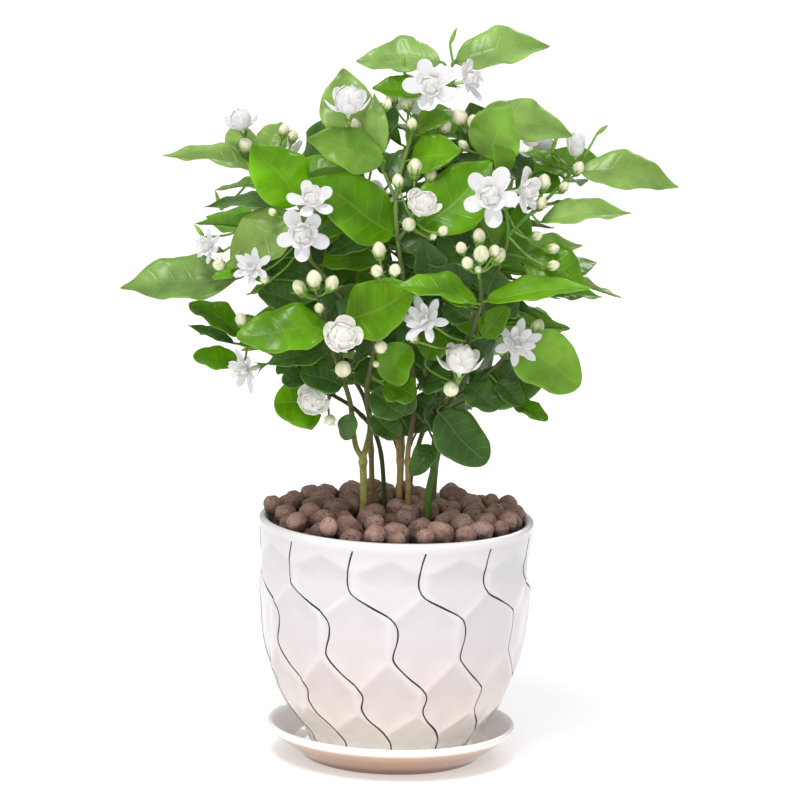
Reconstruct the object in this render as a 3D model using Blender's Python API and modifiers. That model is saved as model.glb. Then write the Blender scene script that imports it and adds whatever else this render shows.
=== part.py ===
"""Potted jasmine: a glazed pot and saucer, clay pebbles over the soil, leafy stems and double white blooms.

The origin is the centre of the saucer's underside, on the pot's axis, with +Z up and the view along +Y.
The crown is placed from the photograph: a pixel gives a sight line, and a depth gives the point on it.
"""
from math import cos, pi, radians, sin, tau
from random import Random

import bmesh
import bpy
from mathutils import Matrix, Vector
from mathutils.bvhtree import BVHTree

MM = 0.001
GAP = 0.3 * MM

# The photograph's viewpoint, from the ellipses of the pot's lip and the saucer's rim
EYE = Vector((0.0, -3.12, 0.80))
AIM = Vector((0.0, 0.0, 0.236))
CAMERA_ROLL = radians(1.6)
FOCAL_PIXELS = 4889.0
MIDDLE_PIXEL = 400.0
PIXEL_SIZE = 0.648 * MM

# Pot wall, from foot to lip: height and outer radius in mm
POT_WALL = ((6.3, 50.5), (18, 58.4), (29, 66), (43, 74.6), (57, 80.3), (81, 86.2), (107, 88.8), (127, 89.1),
            (139, 89.3), (149, 89.9), (153, 90.3))
POT_LIP = ((158.2, 89.5), (159.5, 86.6), (157, 83.4))
POT_INSIDE = ((120, 82.6), (60, 74), (16, 47))
POT_FLOOR_HEIGHT = 11.3
FOOT_RING_WIDTH = 5
FOOT_RECESS = 1.5
DRAIN_HOLE_RADIUS = 6
POT_SIDES = 24
POT_TURN = radians(-2)

# Honeycomb pressed in the pot: each row's upright ridges stand between two heights, in staggered rows
RIDGE_ROWS = ((127, 139), (81, 107), (43, 57), (18, 29), (0, 6.3))
HONEYCOMB_TOP = 149
HONEYCOMB_COLUMNS = 12
HONEYCOMB_TURN = radians(15)
DIMPLE_DEPTH = 2.2

# Saucer: height and radius in mm, from the middle of its floor over the rim and back under
SAUCER_SECTION = ((6, 0), (6, 57), (9, 64.8), (20.8, 76.7), (23, 79.4), (21.4, 81.4), (17.6, 79.6), (9, 68.4),
                  (3.6, 60), (0, 57.5), (0, 0))
SAUCER_SIDES = 30

SOIL_TOP = 138
SOIL_ROOM = 0.5
PEBBLE_BED_BOTTOM = SOIL_TOP + 0.3
PEBBLE_BED_EDGE = 151
PEBBLE_BED_MIDDLE = 156
PEBBLE_BED_RADIUS = 82.3
# Rings of pebbles: how many, distance from the axis, height of their centres and their radius in mm
PEBBLE_RINGS = ((16, 70, 155, 12.2), (10, 45, 157, 12.2), (4, 20, 159, 11.6))
PEBBLE_SPREAD = 0.12

STEM_END = 119
STEM_LEAVES_PEBBLES = 172
HOLE_ROOM = 1.0

LEAF_THICKNESS = 0.8 * MM
# Places along a blade from its base to its tip at which it is shaped, for large leaves and for small ones
LARGE_LEAF_PLACES = (0.17, 0.50, 0.82, 1.0)
SMALL_LEAF_PLACES = (0.28, 0.72, 1.0)
LARGE_LEAF_WIDTH = 29 * MM
PETIOLE_HALF_WIDTH = 0.9 * MM
PETIOLE_THICKNESS = 1.2 * MM
PETAL_THICKNESS = 0.7 * MM
# Rings of a bloom's tube and heart: height and radius over its diameter, and turn in steps
HEART_RINGS = ((-0.36, 0.045, 0.0), (-0.03, 0.06, 0.0), (0.02, 0.07, 0.0), (0.05, 0.075, 0.5),
               (0.09, 0.07, 0.5), (0.2, 0.02, 0.5))
# The bands between rings that petals leave
PETAL_BANDS = (1, 3)
# A three-sided bud is drawn this much wider, so that it fills as much as the round one
BUD_SWELL = 1.2
# Room that a new leaf, bloom or bud keeps to the other nodes
SWELLING = 0.5 * MM
FLAT_ANGLE = radians(0.05)
# Points of one node closer than this only touch, and are moved this far apart
TOUCHING = 0.0005 * MM
TOUCH_ROOM = 0.01 * MM
# Nothing grows from the last stretch of a branch, where it would only touch its end
BRANCH_END = 3 * MM

# Stems and branches: name, node, root in mm or None for a fork, first and last radius in mm,
# and their course as pixels with depths in mm
SHOOTS = (
    ("left_trunk", "stem_left", (-22, 0), 2.5, 2.4, ((363, 466, -2), (363, 457, -2))),
    ("left_fork", "stem_left", None, 2.0, 1.1,
     ((363, 459, -2), (355, 443, -10), (350, 402, -36), (338, 366, -60), (327, 335, -74), (316, 290, -82))),
    ("middle_fork", "stem_left", None, 2.0, 1.1,
     ((363, 459, -2), (370, 428, -16), (367, 391, -40), (374, 350, -66), (382, 310, -78), (385, 275, -82))),
    ("low_left", "stem_dark", (-9, 28), 1.7, 1.0,
     ((377, 438, 16), (356, 410, -2), (328, 392, -22), (298, 370, -36), (268, 352, -42), (240, 342, -42))),
    ("far_left", "stem_tan", (1, 20), 2.0, 1.1,
     ((399, 456, 13), (393, 410, 0), (372, 350, -24), (342, 298, -46), (310, 260, -61), (280, 234, -64),
      (250, 222, -54))),
    ("upper_left", "stem_tan", None, 1.4, 1.0,
     ((310, 260, -61), (306, 226, -64), (298, 203, -61), (283, 180, -50), (262, 158, -32), (250, 142, -22))),
    ("centre", "stem_centre", (7, 8), 2.0, 1.1,
     ((408, 452, 2), (414, 410, -13), (411, 345, -35), (404, 285, -54), (398, 240, -64), (396, 200, -61),
      (404, 160, -48), (420, 118, -34), (436, 88, -26), (441, 74, -24))),
    ("top", "stem_centre", None, 1.2, 1.0, ((436, 88, -26), (449, 70, -21), (456, 60, -18))),
    ("upper_middle", "stem_centre", None, 1.2, 1.0,
     ((396, 200, -61), (381, 166, -58), (367, 143, -50), (352, 116, -42))),
    ("rose_spray", "stem_centre", None, 1.2, 1.0, ((398, 240, -64), (407, 228, -75), (414, 216, -82))),
    ("right_trunk", "stem_right", (20, -4), 2.4, 1.2,
     ((434, 466, -7), (435, 438, -12), (443, 407, -28), (455, 378, -51), (466, 350, -69), (476, 320, -81),
      (481, 303, -85), (479, 266, -86))),
    ("low_right", "stem_right", None, 1.4, 1.0,
     ((443, 407, -28), (468, 389, -37), (494, 368, -46), (510, 350, -51))),
    ("back_right", "stem_right_back", (8, 36), 1.8, 1.1,
     ((420, 440, 22), (440, 392, 6), (466, 335, -16), (488, 292, -34), (501, 262, -45), (508, 236, -54),
      (505, 205, -59))),
    ("far_right", "stem_right_back", None, 1.3, 1.0,
     ((508, 236, -54), (528, 216, -43), (550, 196, -29), (568, 177, -13), (575, 166, -6))),
    ("upper_right", "stem_right_back", None, 1.3, 1.0,
     ((505, 205, -59), (499, 178, -51), (489, 152, -43), (478, 130, -35), (470, 120, -32))),
)

# Leaves in the photograph: branch, base pixel, tip pixel, how far the tip lies behind the base and width
# in mm, and how far the blade's upper face is turned towards the viewer in degrees
FRONT_LEAVES = (
    ("top", (441, 62), (356, 61), 6, 31, 38),
    ("top", (455, 65), (551, 50), 4, 32, 42),
    ("centre", (424, 92), (372, 88), -6, 21, 40),
    ("upper_middle", (356, 150), (342, 72), 10, 36, 75),
    ("upper_middle", (380, 156), (374, 93), 12, 15, 60),
    ("upper_middle", (384, 160), (307, 138), -8, 30, 58),
    ("centre", (395, 236), (308, 181), -16, 40, 62),
    ("centre", (411, 160), (461, 151), -14, 30, 52),
    ("centre", (414, 128), (452, 118), -10, 18, 45),
    ("upper_right", (482, 156), (510, 103), 8, 36, 68),
    ("upper_right", (482, 112), (573, 136), 10, 32, 46),
    ("far_right", (580, 171), (679, 187), 8, 31, 44),
    ("far_right", (541, 222), (632, 213), 6, 28, 24),
    ("far_right", (568, 172), (522, 153), 10, 18, 30),
    ("upper_right", (508, 172), (494, 143), -6, 16, 55),
    ("far_right", (558, 177), (538, 197), -10, 16, 50),
    ("rose_spray", (420, 232), (492, 161), 22, 42, 66),
    ("upper_left", (298, 205), (252, 144), -2, 38, 62),
    ("upper_left", (256, 172), (162, 155), 6, 24, 22),
    ("upper_left", (250, 165), (233, 127), 14, 21, 55),
    ("upper_left", (266, 156), (282, 122), 16, 20, 55),
    ("upper_left", (291, 212), (230, 268), -6, 36, 52),
    ("upper_left", (284, 203), (204, 206), 10, 20, 20),
    ("far_left", (236, 279), (120, 288), 8, 38, 40),
    ("far_left", (244, 268), (212, 278), -6, 13, 40),
    ("low_left", (240, 336), (189, 303), 6, 22, 32),
    ("low_left", (234, 343), (188, 325), -2, 14, 22),
    ("left_fork", (330, 326), (237, 333), -8, 35, 48),
    ("low_left", (296, 352), (240, 343), -16, 18, 30),
    ("low_left", (238, 366), (192, 359), -4, 19, 42),
    ("left_fork", (330, 347), (268, 364), -6, 21, 45),
    ("far_left", (300, 302), (258, 293), -4, 24, 58),
    ("low_left", (322, 408), (274, 404), -14, 34, 66),
    ("left_fork", (346, 322), (414, 288), -8, 40, 62),
    ("centre", (380, 236), (328, 256), -6, 20, 42),
    ("right_trunk", (478, 303), (393, 284), -6, 26, 30),
    ("right_trunk", (486, 301), (592, 288), 8, 27, 24),
    ("back_right", (550, 295), (603, 297), 8, 16, 22),
    ("back_right", (524, 258), (587, 287), -4, 34, 52),
    ("back_right", (514, 264), (520, 205), -4, 21, 66),
    ("back_right", (500, 252), (473, 216), -14, 27, 60),
    ("back_right", (462, 290), (450, 233), -14, 27, 66),
    ("centre", (430, 277), (424, 240), -14, 22, 58),
    ("right_trunk", (478, 337), (451, 310), -6, 17, 56),
    ("right_trunk", (482, 337), (509, 307), -4, 17, 56),
    ("right_trunk", (471, 305), (441, 296), -8, 13, 42),
    ("low_right", (513, 346), (580, 386), -8, 40, 62),
    ("low_right", (513, 404), (548, 420), -8, 15, 32),
    ("low_right", (497, 382), (523, 405), -8, 17, 46),
    ("low_right", (466, 384), (498, 407), -10, 22, 46),
    ("right_trunk", (438, 412), (486, 464), -10, 32, 66),
    ("right_trunk", (440, 424), (462, 440), -8, 14, 50),
    ("right_trunk", (434, 446), (411, 475), -14, 16, 58),
    ("middle_fork", (384, 380), (410, 346), -8, 27, 62),
    ("middle_fork", (384, 384), (416, 397), -6, 23, 56),
    ("right_trunk", (426, 364), (443, 338), -8, 21, 58),
    ("right_trunk", (464, 354), (446, 341), -12, 14, 40),
    ("middle_fork", (372, 392), (404, 415), -8, 25, 56),
    ("middle_fork", (372, 416), (400, 438), -8, 20, 50),
    ("low_left", (322, 376), (282, 382), -14, 21, 48),
    ("left_fork", (342, 386), (300, 372), -10, 22, 52),
)

# Double blooms: petals in a ring, then for the outer and the inner ring the opening angle,
# length over diameter, width over length and cup
BLOOM_STYLES = {
    "open": (5, ((74, 0.50, 0.74, 0.30), (44, 0.36, 0.70, 0.45))),
    "cup": (5, ((46, 0.50, 0.72, 0.50), (20, 0.38, 0.62, 0.45))),
    "star": (6, ((76, 0.50, 0.46, 0.16), (46, 0.36, 0.45, 0.25))),
    "ball": (5, ((60, 0.46, 0.88, 0.60), (28, 0.40, 0.66, 0.55))),
    "closed": (5, ((20, 0.70, 0.42, 0.30), (10, 0.60, 0.16, 0.20))),
}
# Steps in which a petal is drawn out, as place along it and breadth, for the outer and the inner ring
PETAL_STATIONS = (((0.62, 1.0), (1.0, 0.55)), ((0.95, 1.0),))
# Blooms in the photograph: branch, centre pixel, how far it stands before its branch, diameter in mm,
# style and facing
FRONT_BLOOMS = (
    ("upper_middle", (349, 103), 24, 30, "cup", (0.0, -0.35, 1.0)),
    ("upper_left", (241, 122), 6, 23, "cup", (-0.25, -0.3, 1.0)),
    ("centre", (432, 85), 8, 32, "open", (-0.2, -1.0, 0.35)),
    ("top", (466, 81), 6, 26, "open", (0.9, -0.5, 0.3)),
    ("far_right", (576, 148), 4, 21, "closed", (0.0, -0.1, 1.0)),
    ("upper_left", (311, 203), 26, 27, "open", (0.1, -0.7, 0.75)),
    ("far_left", (303, 235), 20, 31, "open", (0.0, -1.0, 0.15)),
    ("far_left", (254, 268), 16, 25, "star", (-0.3, -0.9, 0.35)),
    ("far_left", (211, 247), 6, 21, "star", (-0.6, -0.6, 0.3)),
    ("rose_spray", (422, 206), 10, 26, "ball", (0.15, -0.6, 0.8)),
    ("back_right", (491, 197), 30, 34, "open", (-0.1, -1.0, 0.3)),
    ("far_right", (522, 191), 18, 28, "open", (0.95, -0.45, 0.2)),
    ("right_trunk", (426, 321), 12, 31, "star", (-0.35, -0.9, 0.35)),
    ("low_right", (516, 344), 18, 30, "star", (0.25, -0.95, 0.3)),
    ("left_fork", (342, 338), 20, 30, "ball", (0.1, -0.85, 0.6)),
    ("low_left", (248, 370), 10, 27, "star", (-0.7, -0.6, -0.15)),
    ("low_left", (311, 402), 24, 26, "ball", (0.15, -0.85, 0.55)),
    ("right_trunk", (461, 362), 14, 31, "cup", (0.1, -0.35, 1.0)),
)

# Buds in the photograph: branch, centre pixel, radius in pixels and how far they stand before it in mm
FRONT_BUDS = (
    ("upper_left", (246, 146), 7, 8),
    ("upper_middle", (354, 130), 8, 16),
    ("upper_middle", (387, 105), 5, 6),
    ("centre", (406, 104), 6, 6),
    ("centre", (445, 127), 6, 10),
    ("upper_right", (460, 117), 8, 10),
    ("upper_right", (474, 123), 7, 14),
    ("rose_spray", (398, 181), 6, 2),
    ("rose_spray", (415, 172), 8, 2),
    ("rose_spray", (431, 180), 6, 4),
    ("rose_spray", (409, 225), 7, 14),
    ("middle_fork", (379, 250), 7, 6),
    ("middle_fork", (377, 266), 6, 10),
    ("middle_fork", (395, 265), 6, 8),
    ("right_trunk", (479, 236), 6.5, 2),
    ("right_trunk", (481, 249), 8, 12),
    ("right_trunk", (494, 246), 5.5, 4),
    ("right_trunk", (467, 258), 6, 8),
    ("right_trunk", (499, 258), 7, 8),
    ("left_fork", (314, 279), 8, 6),
    ("left_fork", (332, 283), 7, 8),
    ("left_fork", (299, 290), 7, 8),
    ("far_left", (220, 260), 6, 8),
    ("low_left", (242, 314), 6, 8),
    ("left_fork", (343, 369), 8.5, 16),
    ("middle_fork", (381, 347), 6.5, 10),
    ("right_trunk", (451, 389), 8, 16),
    ("low_left", (330, 420), 6, 20),
    ("low_right", (538, 332), 7, 14),
    ("far_right", (544, 182), 7, 12),
    ("far_right", (553, 248), 5.5, 6),
    ("far_right", (553, 264), 5.5, 6),
)
# Young shoot tips: branch, lower and upper pixel
SHOOT_TIPS = (
    ("top", (450, 44), (457, 27)),
    ("centre", (405, 76), (403, 54)),
    ("far_right", (551, 154), (559, 131)),
    ("far_right", (597, 134), (608, 125)),
    ("upper_left", (221, 210), (215, 190)),
)

# Stems of the far side: node, root in mm, then branches as direction in degrees, reach and top height
# in mm and end
BACK_STEMS = (
    ("stem_back_left", (-17, 40),
     ((170, 86, 345, "buds"), (134, 100, 372, "bloom"), (150, 94, 276, "leaves"), (196, 58, 318, "leaves"))),
    ("stem_back", (2, 52),
     ((98, 106, 334, "bloom"), (90, 58, 412, "bloom"), (112, 80, 262, "leaves"), (200, 30, 378, "leaves"))),
    ("stem_back_right", (24, 34),
     ((12, 86, 322, "buds"), (46, 106, 380, "bloom"), (62, 98, 280, "leaves"), (340, 62, 330, "leaves"))),
)
BACK_FORK_HEIGHT = 215
BACK_PAIR_STEPS = (0.6, 0.97)

# Moves in depth (mm) that a leaf's base and tip, or a bloom or a bud, try in turn until there is room
FRONT_LEAF_MOVES = ((0, 0), (3, 4), (-3, -4), (5, 8), (0, 10), (8, 14), (-5, -8), (4, 20), (0, -10),
                    (12, 22), (-8, -14), (0, 30), (-4, -20), (18, 30), (-12, -22), (0, -30), (-18, -30))
BACK_LEAF_MOVES = ((0, 0), (3, 6), (-3, -6), (6, 12), (-6, -12), (0, 18), (0, -18))
BLOOM_MOVES = (0, -4, 4, -8, 8, -12, 12, -16, 16, -22, -28)
BUD_MOVES = (0, -3, 3, -6, 6, -10, 10, -15, 15, -20, 20)
FAR_BUD_MOVE = 16


def sight_axes():
    """The photograph's right and up directions and the direction of its middle sight line."""
    forward = (AIM - EYE).normalized()
    level = Vector((1.0, 0.0, 0.0))
    upright = level.cross(forward)
    right = level * cos(CAMERA_ROLL) + upright * sin(CAMERA_ROLL)
    return right, right.cross(forward), forward


def seen_at(pixel, depth):
    """The point that shows at a pixel of the photograph and lies this far (mm) behind the pot's axis."""
    right, up, forward = sight_axes()
    across = pixel[0] - MIDDLE_PIXEL
    down = pixel[1] - MIDDLE_PIXEL
    ray = forward * FOCAL_PIXELS + right * across - up * down
    return EYE + ray * ((depth * MM - EYE.y) / ray.y)


def clear_scene():
    for old in list(bpy.data.objects):
        bpy.data.objects.remove(old)


def new_collection(name):
    collection = bpy.data.collections.new(name)
    bpy.context.scene.collection.children.link(collection)
    return collection


def new_material(name, colour, roughness):
    material = bpy.data.materials.new(name)
    material.use_nodes = True
    surface = material.node_tree.nodes["Principled BSDF"]
    surface.inputs["Base Color"].default_value = (*colour, 1.0)
    surface.inputs["Roughness"].default_value = roughness
    surface.inputs["Metallic"].default_value = 0.0
    return material


def as_object(name, shape, collection):
    """A mesh object from a bmesh, which is freed."""
    mesh = bpy.data.meshes.new(name)
    shape.to_mesh(mesh)
    shape.free()
    result = bpy.data.objects.new(name, mesh)
    collection.objects.link(result)
    return result


def evaluated_mesh(source):
    bpy.context.view_layer.update()
    graph = bpy.context.evaluated_depsgraph_get()
    return bpy.data.meshes.new_from_object(source.evaluated_get(graph))


def apply_modifiers(target):
    mesh = evaluated_mesh(target)
    target.modifiers.clear()
    target.data = mesh


def combine(target, others, operation, solver="EXACT"):
    """Joins a collection's solids to the target, or cuts them from it, and removes them."""
    boolean = target.modifiers.new("combine", "BOOLEAN")
    boolean.operation = operation
    boolean.operand_type = "COLLECTION"
    boolean.collection = others
    boolean.solver = solver
    apply_modifiers(target)
    for used in list(others.objects):
        bpy.data.objects.remove(used)
    bpy.data.collections.remove(others)


def turned(name, section, sides, collection, turn=0.0):
    """A solid of revolution from a closed section of (height, radius) points in mm, turned about its axis."""
    profile = bmesh.new()
    corners = [profile.verts.new((radius * MM, 0.0, height * MM)) for height, radius in section]
    for first, second in zip(corners, corners[1:]):
        profile.edges.new((first, second))
    if section[0][1] > 0:
        profile.edges.new((corners[-1], corners[0]))
    body = as_object(name, profile, collection)
    screw = body.modifiers.new("turn", "SCREW")
    screw.steps = sides
    screw.render_steps = sides
    screw.use_merge_vertices = True
    screw.merge_threshold = 0.00001
    apply_modifiers(body)
    body.data.transform(Matrix.Rotation(turn, 4, "Z"))
    return body


def outward(shape):
    bmesh.ops.recalc_face_normals(shape, faces=shape.faces)
    return shape


def between(value, pairs):
    """Linear reading of a curve given as (position, value) pairs in rising order."""
    for (low, first), (high, second) in zip(pairs, pairs[1:]):
        if value <= high:
            return first + (second - first) * (value - low) / (high - low)
    return pairs[-1][1]


def dimple_share(angle, height):
    """How deep the honeycomb lies at a place on the pot: 0 on a ridge, 1 in a cell's middle."""
    step = tau / HONEYCOMB_COLUMNS
    half = step / 2
    if height >= HONEYCOMB_TOP:
        return 0.0
    for row, (low, high) in enumerate(RIDGE_ROWS):
        turn = (angle - POT_TURN - HONEYCOMB_TURN - row % 2 * half) % step
        offset = min(turn, step - turn) / half
        ceiling = HONEYCOMB_TOP if row == 0 else RIDGE_ROWS[row - 1][0]
        if height < low:
            continue
        if height <= high:
            distance = offset
        else:
            slant = (height - high) / (ceiling - high)
            distance = abs(offset - slant)
            if row == 0 and offset < slant:
                return 0.0
        return 1 - (1 - min(1.0, distance / 0.85)) ** 2
    return 0.0


def make_pot(collection):
    inner = [(POT_FLOOR_HEIGHT, POT_INSIDE[-1][1] - 4), (POT_FLOOR_HEIGHT, DRAIN_HOLE_RADIUS)]
    foot_height, foot_radius = POT_WALL[0]
    under = [(foot_height + FOOT_RECESS, DRAIN_HOLE_RADIUS), (foot_height, foot_radius - FOOT_RING_WIDTH)]
    lip_first = list(reversed(POT_LIP)) + list(reversed(POT_WALL))
    section = lip_first + list(reversed(under)) + list(reversed(inner)) + list(reversed(POT_INSIDE))
    pot = turned("pot", section, POT_SIDES, collection, POT_TURN)
    shape = bmesh.new()
    shape.from_mesh(pot.data)
    press_honeycomb(shape)
    shape.to_mesh(pot.data)
    shape.free()
    return pot


def press_honeycomb(shape):
    """Pushes the outer wall's points in by the dimple's depth, and splits its faces along the ridges."""
    depth = {}
    for point in shape.verts:
        height = point.co.z / MM
        radius = Vector(point.co.xy).length
        wall = between(height, POT_WALL) * MM
        if height < HONEYCOMB_TOP and abs(radius - wall) < MM / 2 and height > POT_WALL[0][0] - 1:
            angle = Vector(point.co.xy).angle_signed(Vector((1.0, 0.0)))
            depth[point] = dimple_share(angle, max(height, RIDGE_ROWS[-1][0]))
    for face in list(shape.faces):
        corners = list(face.verts)
        if len(corners) == 4 and all(corner in depth for corner in corners):
            first = depth[corners[0]] + depth[corners[2]]
            second = depth[corners[1]] + depth[corners[3]]
            pair = (0, 2) if first <= second else (1, 3)
            bmesh.utils.face_split(face, corners[pair[0]], corners[pair[1]])
    for point, share in depth.items():
        radius = Vector(point.co.xy).length
        shrink = 1 - share * DIMPLE_DEPTH * MM / radius
        point.co.x *= shrink
        point.co.y *= shrink


def make_saucer(collection):
    return turned("saucer", SAUCER_SECTION, SAUCER_SIDES, collection)


def stem_roots():
    """Where each stem stands and how thick it is: x, y and radius in mm."""
    roots = [(*root, radius) for _, _, root, radius, _, _ in SHOOTS if root]
    return roots + [(*root, 1.9) for _, root, _ in BACK_STEMS]


def hole_cutters(low, high):
    cutters = new_collection("stem holes")
    for x, y, radius in stem_roots():
        shape = bmesh.new()
        middle = Matrix.Translation((x * MM, y * MM, (low + high) / 2 * MM))
        reach = (radius + HOLE_ROOM) * MM
        bmesh.ops.create_cone(shape, cap_ends=True, segments=6, radius1=reach, radius2=reach,
                              depth=(high - low) * MM, matrix=middle)
        cutter = as_object("hole", shape, cutters)
        cutter.hide_render = True
        cutter.display_type = "WIRE"
    return cutters


def make_soil(collection):
    """Potting soil with the root ball, which follows the pot's inside and has a plain hole for each stem."""
    inside = sorted(POT_INSIDE + (POT_LIP[-1],))
    levels = (SOIL_TOP, 120, 60, 16.5)
    wall = [(level, between(level, inside) - SOIL_ROOM) for level in levels]
    section = [(SOIL_TOP, 0)] + wall + [(POT_FLOOR_HEIGHT + 0.3, 42), (POT_FLOOR_HEIGHT + 0.3, 0)]
    soil = turned("potting_soil", section, POT_SIDES, collection, POT_TURN)
    combine(soil, hole_cutters(STEM_END - 0.4, SOIL_TOP + 5), "DIFFERENCE")
    return soil


def make_pebbles(collection):
    """A bed of fired-clay pebbles as one solid, with a plain hole for each stem."""
    draw = Random(11)
    section = ((PEBBLE_BED_MIDDLE, 0), (PEBBLE_BED_EDGE, PEBBLE_BED_RADIUS),
               (PEBBLE_BED_BOTTOM, PEBBLE_BED_RADIUS), (PEBBLE_BED_BOTTOM, 0))
    bed = turned("clay_pebbles", section, POT_SIDES, collection, POT_TURN)
    pebbles = new_collection("pebbles")
    for count, distance, height, radius in PEBBLE_RINGS:
        for place in range(count):
            angle = tau * (place + draw.uniform(-0.1, 0.1)) / count + count
            size = radius * (1 + draw.uniform(-PEBBLE_SPREAD, PEBBLE_SPREAD / 2))
            out = min(distance + draw.uniform(-1, 1), PEBBLE_BED_RADIUS - size)
            up = height + draw.uniform(-1.5, 1)
            turn = draw.uniform(0, tau)
            spin = Matrix.Rotation(turn, 4, Vector((draw.uniform(-1, 1), draw.uniform(-1, 1), 1)))
            seat = Matrix.Translation((out * cos(angle) * MM, out * sin(angle) * MM, up * MM))
            shape = bmesh.new()
            bmesh.ops.create_icosphere(shape, subdivisions=1, radius=size * MM, matrix=seat @ spin)
            as_object("pebble", shape, pebbles)
    combine(bed, pebbles, "UNION", "MANIFOLD")
    combine(bed, hole_cutters(PEBBLE_BED_BOTTOM - 5, STEM_LEAVES_PEBBLES + 15), "DIFFERENCE", "MANIFOLD")
    return bed


# Each branch's node and path, by name
shoots = {}
# The blooms that are placed so far
blooms = []
# Everything that is placed so far in the crown: node, kind, search tree and lowest and highest corner
taken = []
# Each node's solids before they are joined
grown = {}


def corners_of(shape):
    low = Vector([min(point.co[axis] for point in shape.verts) for axis in range(3)])
    high = Vector([max(point.co[axis] for point in shape.verts) for axis in range(3)])
    return low, high


def is_clear(shape, node, own_kinds=()):
    """Whether a solid keeps clear of the other nodes, and of the named kinds of solid in its own node."""
    wide = shape.copy()
    wide.normal_update()
    shifts = [point.normal * SWELLING for point in wide.verts]
    for point, shift in zip(wide.verts, shifts):
        point.co += shift
    low, high = corners_of(wide)
    tree = BVHTree.FromBMesh(wide)
    wide.free()
    for other, kind, other_tree, other_low, other_high in taken:
        if other == node and kind not in own_kinds:
            continue
        apart = any(low[axis] > other_high[axis] or high[axis] < other_low[axis] for axis in range(3))
        if not apart and tree.overlap(other_tree):
            return False
    return True


def keep(shape, node, kind):
    low, high = corners_of(shape)
    taken.append((node, kind, BVHTree.FromBMesh(shape), low, high))
    grown.setdefault(node, []).append(shape)


def frame_along(direction):
    """Two unit vectors across a direction."""
    helper = Vector((0.0, 0.0, 1.0)) if abs(direction.z) < 0.8 else Vector((1.0, 0.0, 0.0))
    side = direction.cross(helper).normalized()
    return side, direction.cross(side).normalized()


def spindle(points, radii, sides, facing=None):
    """A closed loft of rings, each turned half a step from the last so that few sides look round.

    The rings stand across the run from first point to last, or after the first one across a given facing.
    """
    shape = bmesh.new()
    direction = (points[-1] - points[0]).normalized()
    first_side, _ = frame_along(direction)
    rings = []
    for index, (point, radius) in enumerate(zip(points, radii)):
        axis = facing if facing and index else direction
        side = (first_side - axis * first_side.dot(axis)).normalized()
        other = axis.cross(side)
        ring = []
        for corner in range(sides):
            angle = tau * (corner + index % 2 / 2) / sides
            ring.append(shape.verts.new(point + (side * cos(angle) + other * sin(angle)) * radius))
        rings.append(ring)
    for index, (lower, upper) in enumerate(zip(rings, rings[1:])):
        for corner in range(sides):
            after = (corner + 1) % sides
            if index % 2 == 0:
                shape.faces.new((lower[corner], lower[after], upper[corner]))
                shape.faces.new((lower[after], upper[after], upper[corner]))
            else:
                shape.faces.new((lower[corner], upper[after], upper[corner]))
                shape.faces.new((lower[corner], lower[after], upper[after]))
    shape.faces.new(list(reversed(rings[0])))
    shape.faces.new(rings[-1])
    bmesh.ops.triangulate(shape, faces=shape.faces)
    return outward(shape)


def tube(points, radii, roundness):
    """A tapering rod along a path: four sides, and two more for each step of roundness."""
    curve = bpy.data.curves.new("path", "CURVE")
    curve.dimensions = "3D"
    curve.bevel_depth = 1.0
    curve.bevel_resolution = roundness
    curve.use_fill_caps = True
    path = curve.splines.new("POLY")
    path.points.add(len(points) - 1)
    for knot, point, radius in zip(path.points, points, radii):
        knot.co = (*point, 1.0)
        knot.radius = radius
    rod = bpy.data.objects.new("path", curve)
    bpy.context.scene.collection.objects.link(rod)
    mesh = evaluated_mesh(rod)
    shape = bmesh.new()
    shape.from_mesh(mesh)
    bmesh.ops.remove_doubles(shape, verts=shape.verts, dist=0.000001)
    bmesh.ops.triangulate(shape, faces=shape.faces)
    bpy.data.objects.remove(rod)
    bpy.data.meshes.remove(mesh)
    bpy.data.curves.remove(curve)
    return outward(shape)


def thickened(shape, shifts):
    """Makes an open sheet a closed blade with both faces split alike, from each point's own shift."""
    bmesh.ops.triangulate(shape, faces=shape.faces)
    made = bmesh.ops.extrude_face_region(shape, geom=list(shape.faces), use_keep_orig=True)
    for point in made["geom"]:
        if isinstance(point, bmesh.types.BMVert):
            point.co += shifts[point.co.to_tuple(8)]
    bmesh.ops.remove_doubles(shape, verts=shape.verts, dist=0.000001)
    bmesh.ops.triangulate(shape, faces=shape.faces)
    return outward(shape)


def leaf_outline(place):
    """Half the width of a leaf, from 0 to 1, at a place between its base and its pointed tip."""
    return sin(pi * min(1.0, place) ** 0.8) ** 0.8 if 0 < place < 1 else 0.0


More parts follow.
